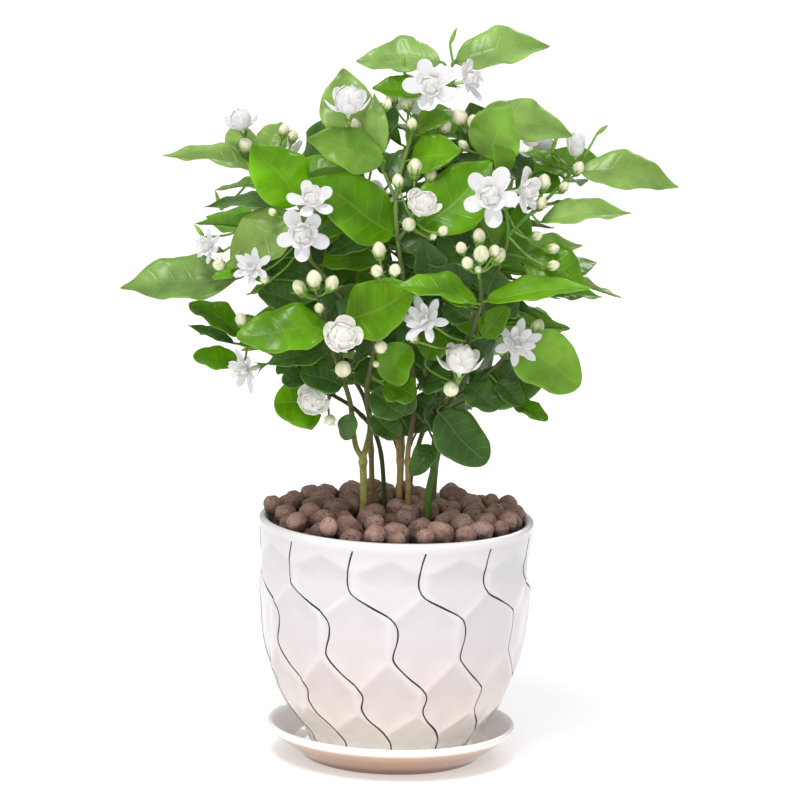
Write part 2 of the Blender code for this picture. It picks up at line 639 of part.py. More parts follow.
class Leaf:
    """A pointed oval blade with a folded midrib, an arched back and waved edges, on its petiole."""

    def __init__(self, root, base, tip, width, upper, phase):
        self.root = root
        self.base = base
        self.width = width
        self.phase = phase
        self.length = (tip - base).length
        self.along = (tip - base).normalized()
        self.upper = (upper - self.along * upper.dot(self.along)).normalized()
        self.across = self.along.cross(self.upper)
        self.arch = 0.05 + 0.035 * sin(5 * phase)
        self.fold = 0.20 + 0.10 * sin(3 * phase)
        self.ruffle = 0.055 + 0.02 * sin(7 * phase)

    def point(self, place, side):
        """A point of the blade: place runs from base 0 to tip 1, side from -1 to 1 across it."""
        half = self.width / 2 * leaf_outline(place)
        rise = self.arch * self.length * sin(pi * min(1.0, place * 1.08))
        rise += self.fold * half * abs(side)
        wave = sin(tau * 2.3 * place + self.phase * 4 + side * 1.2)
        rise += self.ruffle * self.width * wave * side * side * leaf_outline(place)
        sway = 0.05 * self.width * sin(pi * place * 1.4 + self.phase * 2)
        along = self.along * (self.length * place)
        return self.base + along + self.across * (half * side + sway * sin(pi * place)) + self.upper * rise

    def petiole_axes(self):
        """Directions across the petiole and up from it, on the same sides as the blade's."""
        run = self.base - self.root
        across = run.cross(self.upper).normalized()
        if across.dot(self.across) < 0:
            across.negate()
        rise = across.cross(run).normalized()
        if rise.dot(self.upper) < 0:
            rise.negate()
        return across, rise

    def blade(self):
        """The blade alone, without its petiole, for finding where it has room."""
        shape = self.solid()
        cut = self.base + self.along * (0.04 * self.length)
        everything = list(shape.verts) + list(shape.edges) + list(shape.faces)
        bmesh.ops.bisect_plane(shape, geom=everything, plane_co=cut, plane_no=self.along, clear_inner=True)
        return shape

    def solid(self):
        """The petiole's two rows, then the blade's rows of edge, midrib and edge, closed at the tip."""
        shape = bmesh.new()
        places = LARGE_LEAF_PLACES if self.width > LARGE_LEAF_WIDTH else SMALL_LEAF_PLACES
        rows = len(places) + 1
        across, rise = self.petiole_axes()
        bmesh.ops.create_grid(shape, x_segments=2, y_segments=rows, size=1.0)
        shifts = {}
        for point in shape.verts:
            row = round((point.co.y + 1) / 2 * rows)
            side = round(point.co.x)
            if row < 2:
                edge = PETIOLE_HALF_WIDTH if side > 0 else -PETIOLE_HALF_WIDTH
                point.co = (self.base if row else self.root) + across * edge
                shift = -rise * PETIOLE_THICKNESS - across * edge
            else:
                point.co = self.point(places[row - 2], side)
                shift = -self.upper * LEAF_THICKNESS
            shifts[point.co.to_tuple(8)] = shift
        bmesh.ops.remove_doubles(shape, verts=shape.verts, dist=0.000001)
        return thickened(shape, shifts)


class Bloom:
    """A double bloom: rings of petals round a small heart on a slender tube."""

    def __init__(self, centre, facing, diameter, style, phase):
        self.centre = centre
        self.facing = facing.normalized()
        self.diameter = diameter
        self.style = style
        self.phase = phase
        self.side, self.other = frame_along(self.facing)
        self.foot = centre + self.facing * (HEART_RINGS[0][0] * diameter)

    def petal_axes(self, ring, number):
        """Directions out along a petal, across it and into its hollow, with its length."""
        count, rings = BLOOM_STYLES[self.style]
        opening, length_share, _, _ = rings[ring]
        turn = tau * (number + 0.5 + ring / 2 + self.phase) / count
        tilt = radians(opening + 7 * sin(self.phase * 5 + number * 1.9))
        out = self.side * cos(turn) + self.other * sin(turn)
        reach = out * sin(tilt) + self.facing * cos(tilt)
        hollow = self.facing * sin(tilt) - out * cos(tilt)
        length = length_share * self.diameter * (1 + 0.06 * sin(self.phase * 9 + number * 2.4))
        return reach, self.facing.cross(out), hollow, length

    def ring_points(self, height, radius, turn):
        """A ring of the heart: height and radius over the bloom's diameter, turned by a share of a step."""
        count = BLOOM_STYLES[self.style][0]
        points = []
        for number in range(count):
            angle = tau * (number + turn + self.phase) / count
            out = self.side * cos(angle) + self.other * sin(angle)
            middle = self.centre + self.facing * (height * self.diameter)
            points.append(middle + out * (radius * self.diameter))
        return points

    def solid(self):
        """The tube and the heart as one loft, with each petal drawn out of a face of the heart."""
        shape = bmesh.new()
        rings = []
        for height, radius, turn in HEART_RINGS:
            rings.append([shape.verts.new(point) for point in self.ring_points(height, radius, turn)])
        count = len(rings[0])
        petals = []
        for index, (lower, upper) in enumerate(zip(rings, rings[1:])):
            staggered = HEART_RINGS[index][2] != HEART_RINGS[index + 1][2]
            for number in range(count):
                after = (number + 1) % count
                if staggered:
                    shape.faces.new((lower[number], lower[after], upper[number]))
                    shape.faces.new((lower[after], upper[after], upper[number]))
                else:
                    face = shape.faces.new((lower[number], lower[after], upper[after], upper[number]))
                    if index in PETAL_BANDS:
                        petals.append((PETAL_BANDS.index(index), number, face))
        shape.faces.new(list(reversed(rings[0])))
        shape.faces.new(rings[-1])
        outward(shape)
        for ring, number, face in petals:
            self.draw_petal(shape, ring, number, face)
        bmesh.ops.triangulate(shape, faces=shape.faces)
        return outward(shape)

    def draw_petal(self, shape, ring, number, face):
        """Draws a petal out of a face of the heart, wide at its shoulder and narrower at its tip."""
        reach, across, hollow, length = self.petal_axes(ring, number)
        _, _, width_share, cup = BLOOM_STYLES[self.style][1][ring]
        root = face.calc_center_median()
        for place, breadth in PETAL_STATIONS[ring]:
            half = length * width_share / 2 * breadth
            lift = cup * length * (place * place - place)
            middle = root + reach * (length * place) + hollow * lift
            made = bmesh.ops.extrude_discrete_faces(shape, faces=[face])
            face = made["faces"][0]
            before = face.calc_center_median()
            for point in face.verts:
                side = 1 if (point.co - before).dot(across) > 0 else -1
                layer = 1 if (point.co - before).dot(self.facing) > 0 else -1
                rim = 0.3 * cup * half + layer * PETAL_THICKNESS / 2
                point.co = middle + across * (half * side) + hollow * rim


def nearest_on_path(points, place):
    """The nearest point of a path to a place."""
    best = None
    for first, second in zip(points, points[1:]):
        run = second - first
        most = 1 - BRANCH_END / run.length if second == points[-1] else 1.0
        share = max(0.0, min(most, (place - first).dot(run) / run.length_squared))
        found = first + run * share
        if best is None or (found - place).length < (best - place).length:
            best = found
    return best


def depth_before(name, pixel, before):
    """Depth (mm) of a pixel's point that stands this far before the branch behind it."""
    points = shoots[name][1]
    depth = points[-1].y / MM
    for _ in range(3):
        place = seen_at(pixel, depth)
        depth = nearest_on_path(points, place).y / MM - before
    return depth


def make_shoots():
    """The stems and branches that the photograph shows, as tapering rods."""
    for name, node, root, first_radius, last_radius, course in SHOOTS:
        points = [seen_at(pixel[:2], pixel[2]) for pixel in course]
        if root:
            foot = Vector((root[0] * MM, root[1] * MM, STEM_END * MM))
            collar = Vector((root[0] * MM, root[1] * MM, STEM_LEAVES_PEBBLES * MM))
            points = [foot, collar] + points
        shoots[name] = (node, points)
        last = len(points) - 1
        taper = (last_radius - first_radius) / last
        radii = [(first_radius + taper * index) * MM for index in range(last + 1)]
        keep(tube(points, radii, 1 if root else 0), node, "shoot")


def make_back_shoots():
    """The far side's stems: each rises straight, then arches out in its branches' directions."""
    for node, root, branches in BACK_STEMS:
        foot = Vector((root[0] * MM, root[1] * MM, STEM_END * MM))
        fork = Vector((root[0] * MM * 1.15, root[1] * MM * 1.15, BACK_FORK_HEIGHT * MM))
        collar = Vector((root[0] * MM, root[1] * MM, STEM_LEAVES_PEBBLES * MM))
        keep(tube([foot, collar, fork], [1.9 * MM, 1.9 * MM, 1.7 * MM], 1), node, "shoot")
        for number, (direction, reach, top, _) in enumerate(branches):
            name = f"{node}_{number}"
            aim = Vector((cos(radians(direction)), sin(radians(direction)), 0.0)) * (reach * MM)
            end = Vector((aim.x, aim.y, top * MM))
            rise = Vector((fork.x * 1.3, fork.y * 1.3, BACK_FORK_HEIGHT * MM + (end.z - fork.z) * 0.55))
            points = []
            for step in range(5):
                share = step / 4
                points.append(fork * (1 - share) ** 2 + rise * 2 * share * (1 - share) + end * share * share)
            shoots[name] = (node, points)
            keep(tube(points, [(1.6 - 0.15 * step) * MM for step in range(5)], 0), node, "shoot")


def grow_leaf(name, base, tip, width, upper, phase, nudges):
    """Grows a leaf where it keeps clear, moved a little forwards or back if it must be, or leaves it out."""
    node, points = shoots[name]
    for own_kinds in (("shoot", "leaf", "bud", "stalk"), ("leaf",), ()):
        for base_nudge, tip_nudge in nudges:
            moved_base = base + Vector((0, base_nudge * MM, 0))
            moved_tip = tip + Vector((0, tip_nudge * MM, 0))
            root = nearest_on_path(points, moved_base - Vector((0, 0, 2 * MM)))
            leaf = Leaf(root, moved_base, moved_tip, width, upper, phase)
            shape = leaf.solid()
            blade = leaf.blade()
            if is_clear(shape, node) and is_clear(blade, node, own_kinds):
                blade.free()
                keep(shape, node, "leaf")
                return
            shape.free()
            blade.free()


def grow_front_leaves():
    for number, (name, base_pixel, tip_pixel, behind, width, turn) in enumerate(FRONT_LEAVES):
        depth = depth_before(name, base_pixel, 2)
        base = seen_at(base_pixel, depth)
        tip = seen_at(tip_pixel, depth + behind)
        upper = Vector((0.0, -sin(radians(turn)), cos(radians(turn))))
        grow_leaf(name, base, tip, width * MM, upper, number * 0.37, FRONT_LEAF_MOVES)


def grow_bloom(name, centre, facing, diameter, style, phase):
    """Grows a bloom on its stalk and calyx where both keep clear."""
    node, points = shoots[name]
    title = f"bloom_{len(blooms) + 1:02d}"
    for nudge in BLOOM_MOVES:
        moved = centre + Vector((0, nudge * MM, 0))
        bloom = Bloom(moved, facing, diameter, style, phase)
        solid = bloom.solid()
        calyx_top = bloom.foot - bloom.facing * GAP
        calyx_base = calyx_top - bloom.facing * (0.16 * diameter)
        start = nearest_on_path(points, calyx_base - Vector((0, 0, 8 * MM)))
        radii = [0.7 * MM, 0.9 * MM, 0.075 * diameter]
        stalk = spindle([start, calyx_base, calyx_top], radii, 4, bloom.facing)
        crossed = BVHTree.FromBMesh(solid).overlap(BVHTree.FromBMesh(stalk))
        if not crossed and is_clear(solid, title) and is_clear(stalk, node):
            keep(stalk, node, "stalk")
            keep(solid, title, "petal")
            blooms.append(bloom)
            return
        solid.free()
        stalk.free()


def grow_front_blooms():
    for number, (name, pixel, before, diameter, style, facing) in enumerate(FRONT_BLOOMS):
        centre = seen_at(pixel, depth_before(name, pixel, before))
        grow_bloom(name, centre, Vector(facing), diameter * MM, style, number * 0.29)


def grow_bud(name, centre, radius):
    """Grows an egg-shaped bud on a slender stalk."""
    node, points = shoots[name]
    for nudge in BUD_MOVES:
        moved = centre + Vector((0, nudge * MM, 0))
        start = nearest_on_path(points, moved - Vector((0, 0, 10 * MM)))
        lean = (moved - start).normalized() + Vector((0.0, 0.0, 0.7))
        axis = lean.normalized() * (radius * 1.35)
        stations = [start, moved - axis, moved + axis * 0.1, moved + axis]
        shape = spindle(stations, [0.8 * MM, 1.0 * MM, radius * BUD_SWELL, radius * 0.3], 3)
        if is_clear(shape, node, ("bud", "leaf") if abs(nudge) < FAR_BUD_MOVE else ()):
            keep(shape, node, "bud")
            return
        shape.free()


def grow_front_buds():
    for name, pixel, radius, before in FRONT_BUDS:
        centre = seen_at(pixel, depth_before(name, pixel, before))
        grow_bud(name, centre, radius * PIXEL_SIZE)
    for name, lower_pixel, upper_pixel in SHOOT_TIPS:
        node, points = shoots[name]
        depth = depth_before(name, lower_pixel, 0)
        lower = seen_at(lower_pixel, depth)
        upper = seen_at(upper_pixel, depth)
        start = nearest_on_path(points, lower)
        stations = [start, lower, lower.lerp(upper, 0.4), upper]
        shape = spindle(stations, [0.8 * MM, 0.8 * MM, 1.8 * MM, 0.5 * MM], 3)
        if is_clear(shape, node):
            keep(shape, node, "bud")


def grow_far_side():
    """Opposite pairs of leaves, blooms and buds on the stems that the photograph doesn't show."""
    draw = Random(5)
    for node, _, branches in BACK_STEMS:
        for number, (direction, _, _, end) in enumerate(branches):
            name = f"{node}_{number}"
            points = shoots[name][1]
            away = Vector((cos(radians(direction)), sin(radians(direction)), 0.0))
            side = Vector((-away.y, away.x, 0.0))
            if end == "bloom":
                centre = points[-1] + away * (14 * MM) + Vector((0, 0, 12 * MM))
                grow_bloom(name, centre, away + Vector((0, 0, 0.5)), 30 * MM, "open", number * 0.31)
            if end in ("bloom", "buds"):
                grow_bud(name, points[-1] + side * (11 * MM) + Vector((0, 0, 14 * MM)), 4.2 * MM)
            for step in BACK_PAIR_STEPS:
                index = min(3, int(step * 4))
                start = points[index].lerp(points[index + 1], step * 4 - index)
                for turn in (-1, 1):
                    length = draw.uniform(48, 68) * MM
                    spread = draw.uniform(0.7, 1.1) if step < 0.9 else draw.uniform(0.5, 0.8)
                    rise = Vector((0, 0, draw.uniform(-0.25, 0.3)))
                    heading = (away + side * (turn * spread) + rise).normalized()
                    base = start + heading * (7 * MM)
                    tilt = radians(draw.uniform(28, 60))
                    upper = away * sin(tilt) + Vector((0, 0, cos(tilt)))
                    width = length * draw.uniform(0.5, 0.6)
                    phase = draw.uniform(0, 6)
                    grow_leaf(name, base, base + heading * length, width, upper, phase, BACK_LEAF_MOVES)


def body_of(start):
    """All faces of the body that a face belongs to."""
    found = {start}
    waiting = [start]
    while waiting:
        for edge in waiting.pop().edges:
            for face in edge.link_faces:
                if face not in found:
                    found.add(face)
                    waiting.append(face)
    return found


def drop_scraps(shape):
    """Keeps the one large body, without loose scraps and sealed hollows between crossing blades."""
    unseen = set(shape.faces)
    bodies = []
    while unseen:
        body = body_of(next(iter(unseen)))
        bodies.append(body)
        unseen -= body
    bodies.sort(key=len)
    for scrap in bodies[:-1]:
        bmesh.ops.delete(shape, geom=list(scrap), context="FACES")


def part_touches(shape):
    """Moves points apart that lie on each other where blades of one body only touch."""
    shape.normal_update()
    near = bmesh.ops.find_doubles(shape, verts=shape.verts, dist=TOUCHING)["targetmap"]
    for point, partner in near.items():
        if not any(edge.other_vert(point) is partner for edge in point.link_edges):
            for moved in (point, partner):
                moved.co -= moved.normal * TOUCH_ROOM


def merge_short_edges(shape):
    bmesh.ops.dissolve_degenerate(shape, dist=TOUCHING, edges=shape.edges)


def tidy_joined(mesh, step):
    """Runs a clean-up step on a joined mesh, and keeps the result if it is still closed."""
    for split in ("BEAUTY", "EAR_CLIP"):
        shape = bmesh.new()
        shape.from_mesh(mesh)
        step(shape)
        bmesh.ops.triangulate(shape, faces=shape.faces, ngon_method=split)
        closed = all(edge.is_manifold for edge in shape.edges)
        if closed:
            shape.to_mesh(mesh)
        shape.free()
        if closed:
            return


def merge_flats(shape):
    bmesh.ops.dissolve_limit(shape, angle_limit=FLAT_ANGLE, verts=shape.verts, edges=shape.edges)


def join_node(node, collection, material):
    """Fuses a node's solids into one body."""
    parts = grown[node]
    first = as_object(node, parts[0], collection)
    others = new_collection(node + " pieces")
    for part in parts[1:]:
        as_object(node + " piece", part, others)
    if parts[1:]:
        combine(first, others, "UNION", "MANIFOLD")
        for step in (drop_scraps, merge_short_edges, part_touches, merge_flats, drop_scraps):
            tidy_joined(first.data, step)
    first.data.materials.clear()
    first.data.materials.append(material)


def main():
    clear_scene()
    part = new_collection("potted_jasmine")
    glaze = new_material("white_glaze", (0.87, 0.85, 0.83), 0.28)
    clay = new_material("fired_clay", (0.22, 0.125, 0.105), 0.9)
    soil = new_material("potting_soil", (0.06, 0.04, 0.03), 0.95)
    green = new_material("jasmine_green", (0.13, 0.37, 0.035), 0.35)
    white = new_material("petal_white", (0.87, 0.86, 0.90), 0.5)
    for solid, material in ((make_saucer(part), glaze), (make_pot(part), glaze), (make_soil(part), soil),
                            (make_pebbles(part), clay)):
        solid.data.materials.clear()
        solid.data.materials.append(material)
    make_shoots()
    make_back_shoots()
    grow_front_blooms()
    grow_front_leaves()
    grow_front_buds()
    grow_far_side()
    for node in grown:
        join_node(node, part, white if node.startswith("bloom") else green)
    for solid in part.objects:
        solid.data.shade_smooth()
        solid.data.set_sharp_from_angle(angle=radians(35))


main()
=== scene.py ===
"""Looks of the potted jasmine: leaves, blooms, buds, glaze, painted lines and pebbles over the CAD model.

The crown is grown again from the same named values as the CAD model's, so each fine piece lies where its
solid does.
"""
from math import cos, hypot, pi, radians, sin, tau
from random import Random

import bmesh
import bpy
from mathutils import Matrix, Vector, noise
from mathutils.bvhtree import BVHTree


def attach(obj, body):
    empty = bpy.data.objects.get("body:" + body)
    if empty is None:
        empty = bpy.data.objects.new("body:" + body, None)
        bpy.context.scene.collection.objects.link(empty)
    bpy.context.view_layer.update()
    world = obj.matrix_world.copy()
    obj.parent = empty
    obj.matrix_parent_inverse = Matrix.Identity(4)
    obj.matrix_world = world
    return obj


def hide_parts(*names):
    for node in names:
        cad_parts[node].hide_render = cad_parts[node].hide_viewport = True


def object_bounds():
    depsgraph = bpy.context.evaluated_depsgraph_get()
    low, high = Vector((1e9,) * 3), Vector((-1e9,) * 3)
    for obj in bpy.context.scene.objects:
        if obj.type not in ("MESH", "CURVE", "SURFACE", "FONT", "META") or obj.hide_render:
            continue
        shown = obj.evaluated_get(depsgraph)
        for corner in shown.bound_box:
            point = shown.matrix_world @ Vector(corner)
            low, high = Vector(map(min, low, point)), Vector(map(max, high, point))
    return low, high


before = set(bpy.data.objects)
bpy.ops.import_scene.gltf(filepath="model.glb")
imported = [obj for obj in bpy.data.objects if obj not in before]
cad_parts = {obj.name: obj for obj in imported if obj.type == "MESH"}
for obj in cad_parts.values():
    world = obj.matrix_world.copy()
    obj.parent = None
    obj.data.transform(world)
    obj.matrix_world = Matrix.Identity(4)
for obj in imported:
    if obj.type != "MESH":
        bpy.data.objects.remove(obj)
CAD_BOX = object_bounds()

MM = 0.001
GAP = 0.3 * MM
WHITE = (1.0, 1.0, 1.0)
UP = Vector((0.0, 0.0, 1.0))
LEVEL = Vector((1.0, 0.0, 0.0))
# Points closer than this are one point
MERGE_DISTANCE = 0.000001

# The photograph's viewpoint, from the ellipses of the pot's lip and the saucer's rim
EYE = Vector((0.0, -3.12, 0.80))
AIM = Vector((0.0, 0.0, 0.236))
CAMERA_ROLL = radians(1.6)
FOCAL_PIXELS = 4889.0
MIDDLE_PIXEL = 400.0
PIXEL_SIZE = 0.648 * MM
SENSOR_WIDTH = 36.0

# Pot wall, from foot to lip: height and outer radius in mm
POT_WALL = ((6.3, 50.5), (18, 58.4), (29, 66), (43, 74.6), (57, 80.3), (81, 86.2), (107, 88.8), (127, 89.1),
            (139, 89.3), (149, 89.9), (153, 90.3))
POT_LIP = ((158.2, 89.5), (159.5, 86.6), (157, 83.4))
POT_INSIDE = ((120, 82.6), (60, 74), (16, 47))
POT_FLOOR_HEIGHT = 11.3
FOOT_RING_WIDTH = 5
FOOT_RECESS = 1.5
DRAIN_HOLE_RADIUS = 6
POT_TURN = radians(-2)

# Honeycomb pressed in the pot: each row's upright ridges stand between two heights, in staggered rows
RIDGE_ROWS = ((127, 139), (81, 107), (43, 57), (18, 29), (0, 6.3))
HONEYCOMB_TOP = 149
HONEYCOMB_COLUMNS = 12
HONEYCOMB_TURN = radians(15)
DIMPLE_DEPTH = 2.2

# Saucer: height and radius in mm, from the middle of its floor over the rim and back under
SAUCER_SECTION = ((6, 0), (6, 57), (9, 64.8), (20.8, 76.7), (23, 79.4), (21.4, 81.4), (17.6, 79.6), (9, 68.4),
                  (3.6, 60), (0, 57.5), (0, 0))

# Heights in mm of the soil's top, of a stem's end in the soil and of the place where it leaves the pebbles
SOIL_TOP = 138
STEM_END = 119
STEM_LEAVES_PEBBLES = 172

LEAF_THICKNESS = 0.8 * MM
# Places along a blade from its base to its tip at which it is shaped, for large leaves and for small ones
LARGE_LEAF_PLACES = (0.17, 0.50, 0.82, 1.0)
SMALL_LEAF_PLACES = (0.28, 0.72, 1.0)
LARGE_LEAF_WIDTH = 29 * MM
PETIOLE_HALF_WIDTH = 0.9 * MM
PETIOLE_THICKNESS = 1.2 * MM
PETAL_THICKNESS = 0.7 * MM
# A calyx's length over its bloom's diameter, and half a bud's length over its radius
CALYX_LENGTH = 0.16
BUD_LENGTH = 1.35
# Rounds in which the depth of the branch behind a pixel is found
DEPTH_ROUNDS = 3
# Rings of a bloom's tube and heart: height and radius over its diameter, and turn in steps
HEART_RINGS = ((-0.36, 0.045, 0.0), (-0.03, 0.06, 0.0), (0.02, 0.07, 0.0), (0.05, 0.075, 0.5),
               (0.09, 0.07, 0.5), (0.2, 0.02, 0.5))
# The bands between rings that petals leave
PETAL_BANDS = (1, 3)
# A three-sided bud is drawn this much wider, so that it fills as much as the round one
BUD_SWELL = 1.2
# Room that a new leaf, bloom or bud keeps to the other nodes
SWELLING = 0.5 * MM
# Nothing grows from the last stretch of a branch, where it would only touch its end
BRANCH_END = 3 * MM

# Stems and branches: name, node, root in mm or None for a fork, first and last radius in mm,
# and their course as pixels with depths in mm
SHOOTS = (
    ("left_trunk", "stem_left", (-22, 0), 2.5, 2.4, ((363, 466, -2), (363, 457, -2))),
    ("left_fork", "stem_left", None, 2.0, 1.1,
     ((363, 459, -2), (355, 443, -10), (350, 402, -36), (338, 366, -60), (327, 335, -74), (316, 290, -82))),
    ("middle_fork", "stem_left", None, 2.0, 1.1,
     ((363, 459, -2), (370, 428, -16), (367, 391, -40), (374, 350, -66), (382, 310, -78), (385, 275, -82))),
    ("low_left", "stem_dark", (-9, 28), 1.7, 1.0,
     ((377, 438, 16), (356, 410, -2), (328, 392, -22), (298, 370, -36), (268, 352, -42), (240, 342, -42))),
    ("far_left", "stem_tan", (1, 20), 2.0, 1.1,
     ((399, 456, 13), (393, 410, 0), (372, 350, -24), (342, 298, -46), (310, 260, -61), (280, 234, -64),
      (250, 222, -54))),
    ("upper_left", "stem_tan", None, 1.4, 1.0,
     ((310, 260, -61), (306, 226, -64), (298, 203, -61), (283, 180, -50), (262, 158, -32), (250, 142, -22))),
    ("centre", "stem_centre", (7, 8), 2.0, 1.1,
     ((408, 452, 2), (414, 410, -13), (411, 345, -35), (404, 285, -54), (398, 240, -64), (396, 200, -61),
      (404, 160, -48), (420, 118, -34), (436, 88, -26), (441, 74, -24))),
    ("top", "stem_centre", None, 1.2, 1.0, ((436, 88, -26), (449, 70, -21), (456, 60, -18))),
    ("upper_middle", "stem_centre", None, 1.2, 1.0,
     ((396, 200, -61), (381, 166, -58), (367, 143, -50), (352, 116, -42))),
    ("rose_spray", "stem_centre", None, 1.2, 1.0, ((398, 240, -64), (407, 228, -75), (414, 216, -82))),
    ("right_trunk", "stem_right", (20, -4), 2.4, 1.2,
     ((434, 466, -7), (435, 438, -12), (443, 407, -28), (455, 378, -51), (466, 350, -69), (476, 320, -81),
      (481, 303, -85), (479, 266, -86))),
    ("low_right", "stem_right", None, 1.4, 1.0,
     ((443, 407, -28), (468, 389, -37), (494, 368, -46), (510, 350, -51))),
    ("back_right", "stem_right_back", (8, 36), 1.8, 1.1,
     ((420, 440, 22), (440, 392, 6), (466, 335, -16), (488, 292, -34), (501, 262, -45), (508, 236, -54),
      (505, 205, -59))),
    ("far_right", "stem_right_back", None, 1.3, 1.0,
     ((508, 236, -54), (528, 216, -43), (550, 196, -29), (568, 177, -13), (575, 166, -6))),
    ("upper_right", "stem_right_back", None, 1.3, 1.0,
     ((505, 205, -59), (499, 178, -51), (489, 152, -43), (478, 130, -35), (470, 120, -32))),
)

# Leaves in the photograph: branch, base pixel, tip pixel, how far the tip lies behind the base and width
# in mm, and how far the blade's upper face is turned towards the viewer in degrees
FRONT_LEAVES = (
    ("top", (441, 62), (356, 61), 6, 31, 38),
    ("top", (455, 65), (551, 50), 4, 32, 42),
    ("centre", (424, 92), (372, 88), -6, 21, 40),
    ("upper_middle", (356, 150), (342, 72), 10, 36, 75),
    ("upper_middle", (380, 156), (374, 93), 12, 15, 60),
    ("upper_middle", (384, 160), (307, 138), -8, 30, 58),
    ("centre", (395, 236), (308, 181), -16, 40, 62),
    ("centre", (411, 160), (461, 151), -14, 30, 52),
    ("centre", (414, 128), (452, 118), -10, 18, 45),
    ("upper_right", (482, 156), (510, 103), 8, 36, 68),
    ("upper_right", (482, 112), (573, 136), 10, 32, 46),
    ("far_right", (580, 171), (679, 187), 8, 31, 44),
    ("far_right", (541, 222), (632, 213), 6, 28, 24),
    ("far_right", (568, 172), (522, 153), 10, 18, 30),
    ("upper_right", (508, 172), (494, 143), -6, 16, 55),
    ("far_right", (558, 177), (538, 197), -10, 16, 50),
    ("rose_spray", (420, 232), (492, 161), 22, 42, 66),
    ("upper_left", (298, 205), (252, 144), -2, 38, 62),
    ("upper_left", (256, 172), (162, 155), 6, 24, 22),
    ("upper_left", (250, 165), (233, 127), 14, 21, 55),
    ("upper_left", (266, 156), (282, 122), 16, 20, 55),
    ("upper_left", (291, 212), (230, 268), -6, 36, 52),
    ("upper_left", (284, 203), (204, 206), 10, 20, 20),
    ("far_left", (236, 279), (120, 288), 8, 38, 40),
    ("far_left", (244, 268), (212, 278), -6, 13, 40),
    ("low_left", (240, 336), (189, 303), 6, 22, 32),
    ("low_left", (234, 343), (188, 325), -2, 14, 22),
    ("left_fork", (330, 326), (237, 333), -8, 35, 48),
    ("low_left", (296, 352), (240, 343), -16, 18, 30),
    ("low_left", (238, 366), (192, 359), -4, 19, 42),
    ("left_fork", (330, 347), (268, 364), -6, 21, 45),
    ("far_left", (300, 302), (258, 293), -4, 24, 58),
    ("low_left", (322, 408), (274, 404), -14, 34, 66),
    ("left_fork", (346, 322), (414, 288), -8, 40, 62),
    ("centre", (380, 236), (328, 256), -6, 20, 42),
    ("right_trunk", (478, 303), (393, 284), -6, 26, 30),
    ("right_trunk", (486, 301), (592, 288), 8, 27, 24),
    ("back_right", (550, 295), (603, 297), 8, 16, 22),
    ("back_right", (524, 258), (587, 287), -4, 34, 52),
    ("back_right", (514, 264), (520, 205), -4, 21, 66),
    ("back_right", (500, 252), (473, 216), -14, 27, 60),
    ("back_right", (462, 290), (450, 233), -14, 27, 66),
    ("centre", (430, 277), (424, 240), -14, 22, 58),
    ("right_trunk", (478, 337), (451, 310), -6, 17, 56),
    ("right_trunk", (482, 337), (509, 307), -4, 17, 56),
    ("right_trunk", (471, 305), (441, 296), -8, 13, 42),
    ("low_right", (513, 346), (580, 386), -8, 40, 62),
    ("low_right", (513, 404), (548, 420), -8, 15, 32),
    ("low_right", (497, 382), (523, 405), -8, 17, 46),
    ("low_right", (466, 384), (498, 407), -10, 22, 46),
    ("right_trunk", (438, 412), (486, 464), -10, 32, 66),
    ("right_trunk", (440, 424), (462, 440), -8, 14, 50),
    ("right_trunk", (434, 446), (411, 475), -14, 16, 58),
    ("middle_fork", (384, 380), (410, 346), -8, 27, 62),
    ("middle_fork", (384, 384), (416, 397), -6, 23, 56),
    ("right_trunk", (426, 364), (443, 338), -8, 21, 58),
    ("right_trunk", (464, 354), (446, 341), -12, 14, 40),
    ("middle_fork", (372, 392), (404, 415), -8, 25, 56),
    ("middle_fork", (372, 416), (400, 438), -8, 20, 50),
    ("low_left", (322, 376), (282, 382), -14, 21, 48),
    ("left_fork", (342, 386), (300, 372), -10, 22, 52),
)

# Double blooms: petals in a ring, then for the outer and the inner ring the opening angle,
# length over diameter, width over length and cup
BLOOM_STYLES = {
    "open": (5, ((74, 0.50, 0.74, 0.30), (44, 0.36, 0.70, 0.45))),
    "cup": (5, ((46, 0.50, 0.72, 0.50), (20, 0.38, 0.62, 0.45))),
    "star": (6, ((76, 0.50, 0.46, 0.16), (46, 0.36, 0.45, 0.25))),
    "ball": (5, ((60, 0.46, 0.88, 0.60), (28, 0.40, 0.66, 0.55))),
    "closed": (5, ((20, 0.70, 0.42, 0.30), (10, 0.60, 0.16, 0.20))),
}
# Steps in which a petal is drawn out, as place along it and breadth, for the outer and the inner ring
PETAL_STATIONS = (((0.62, 1.0), (1.0, 0.55)), ((0.95, 1.0),))
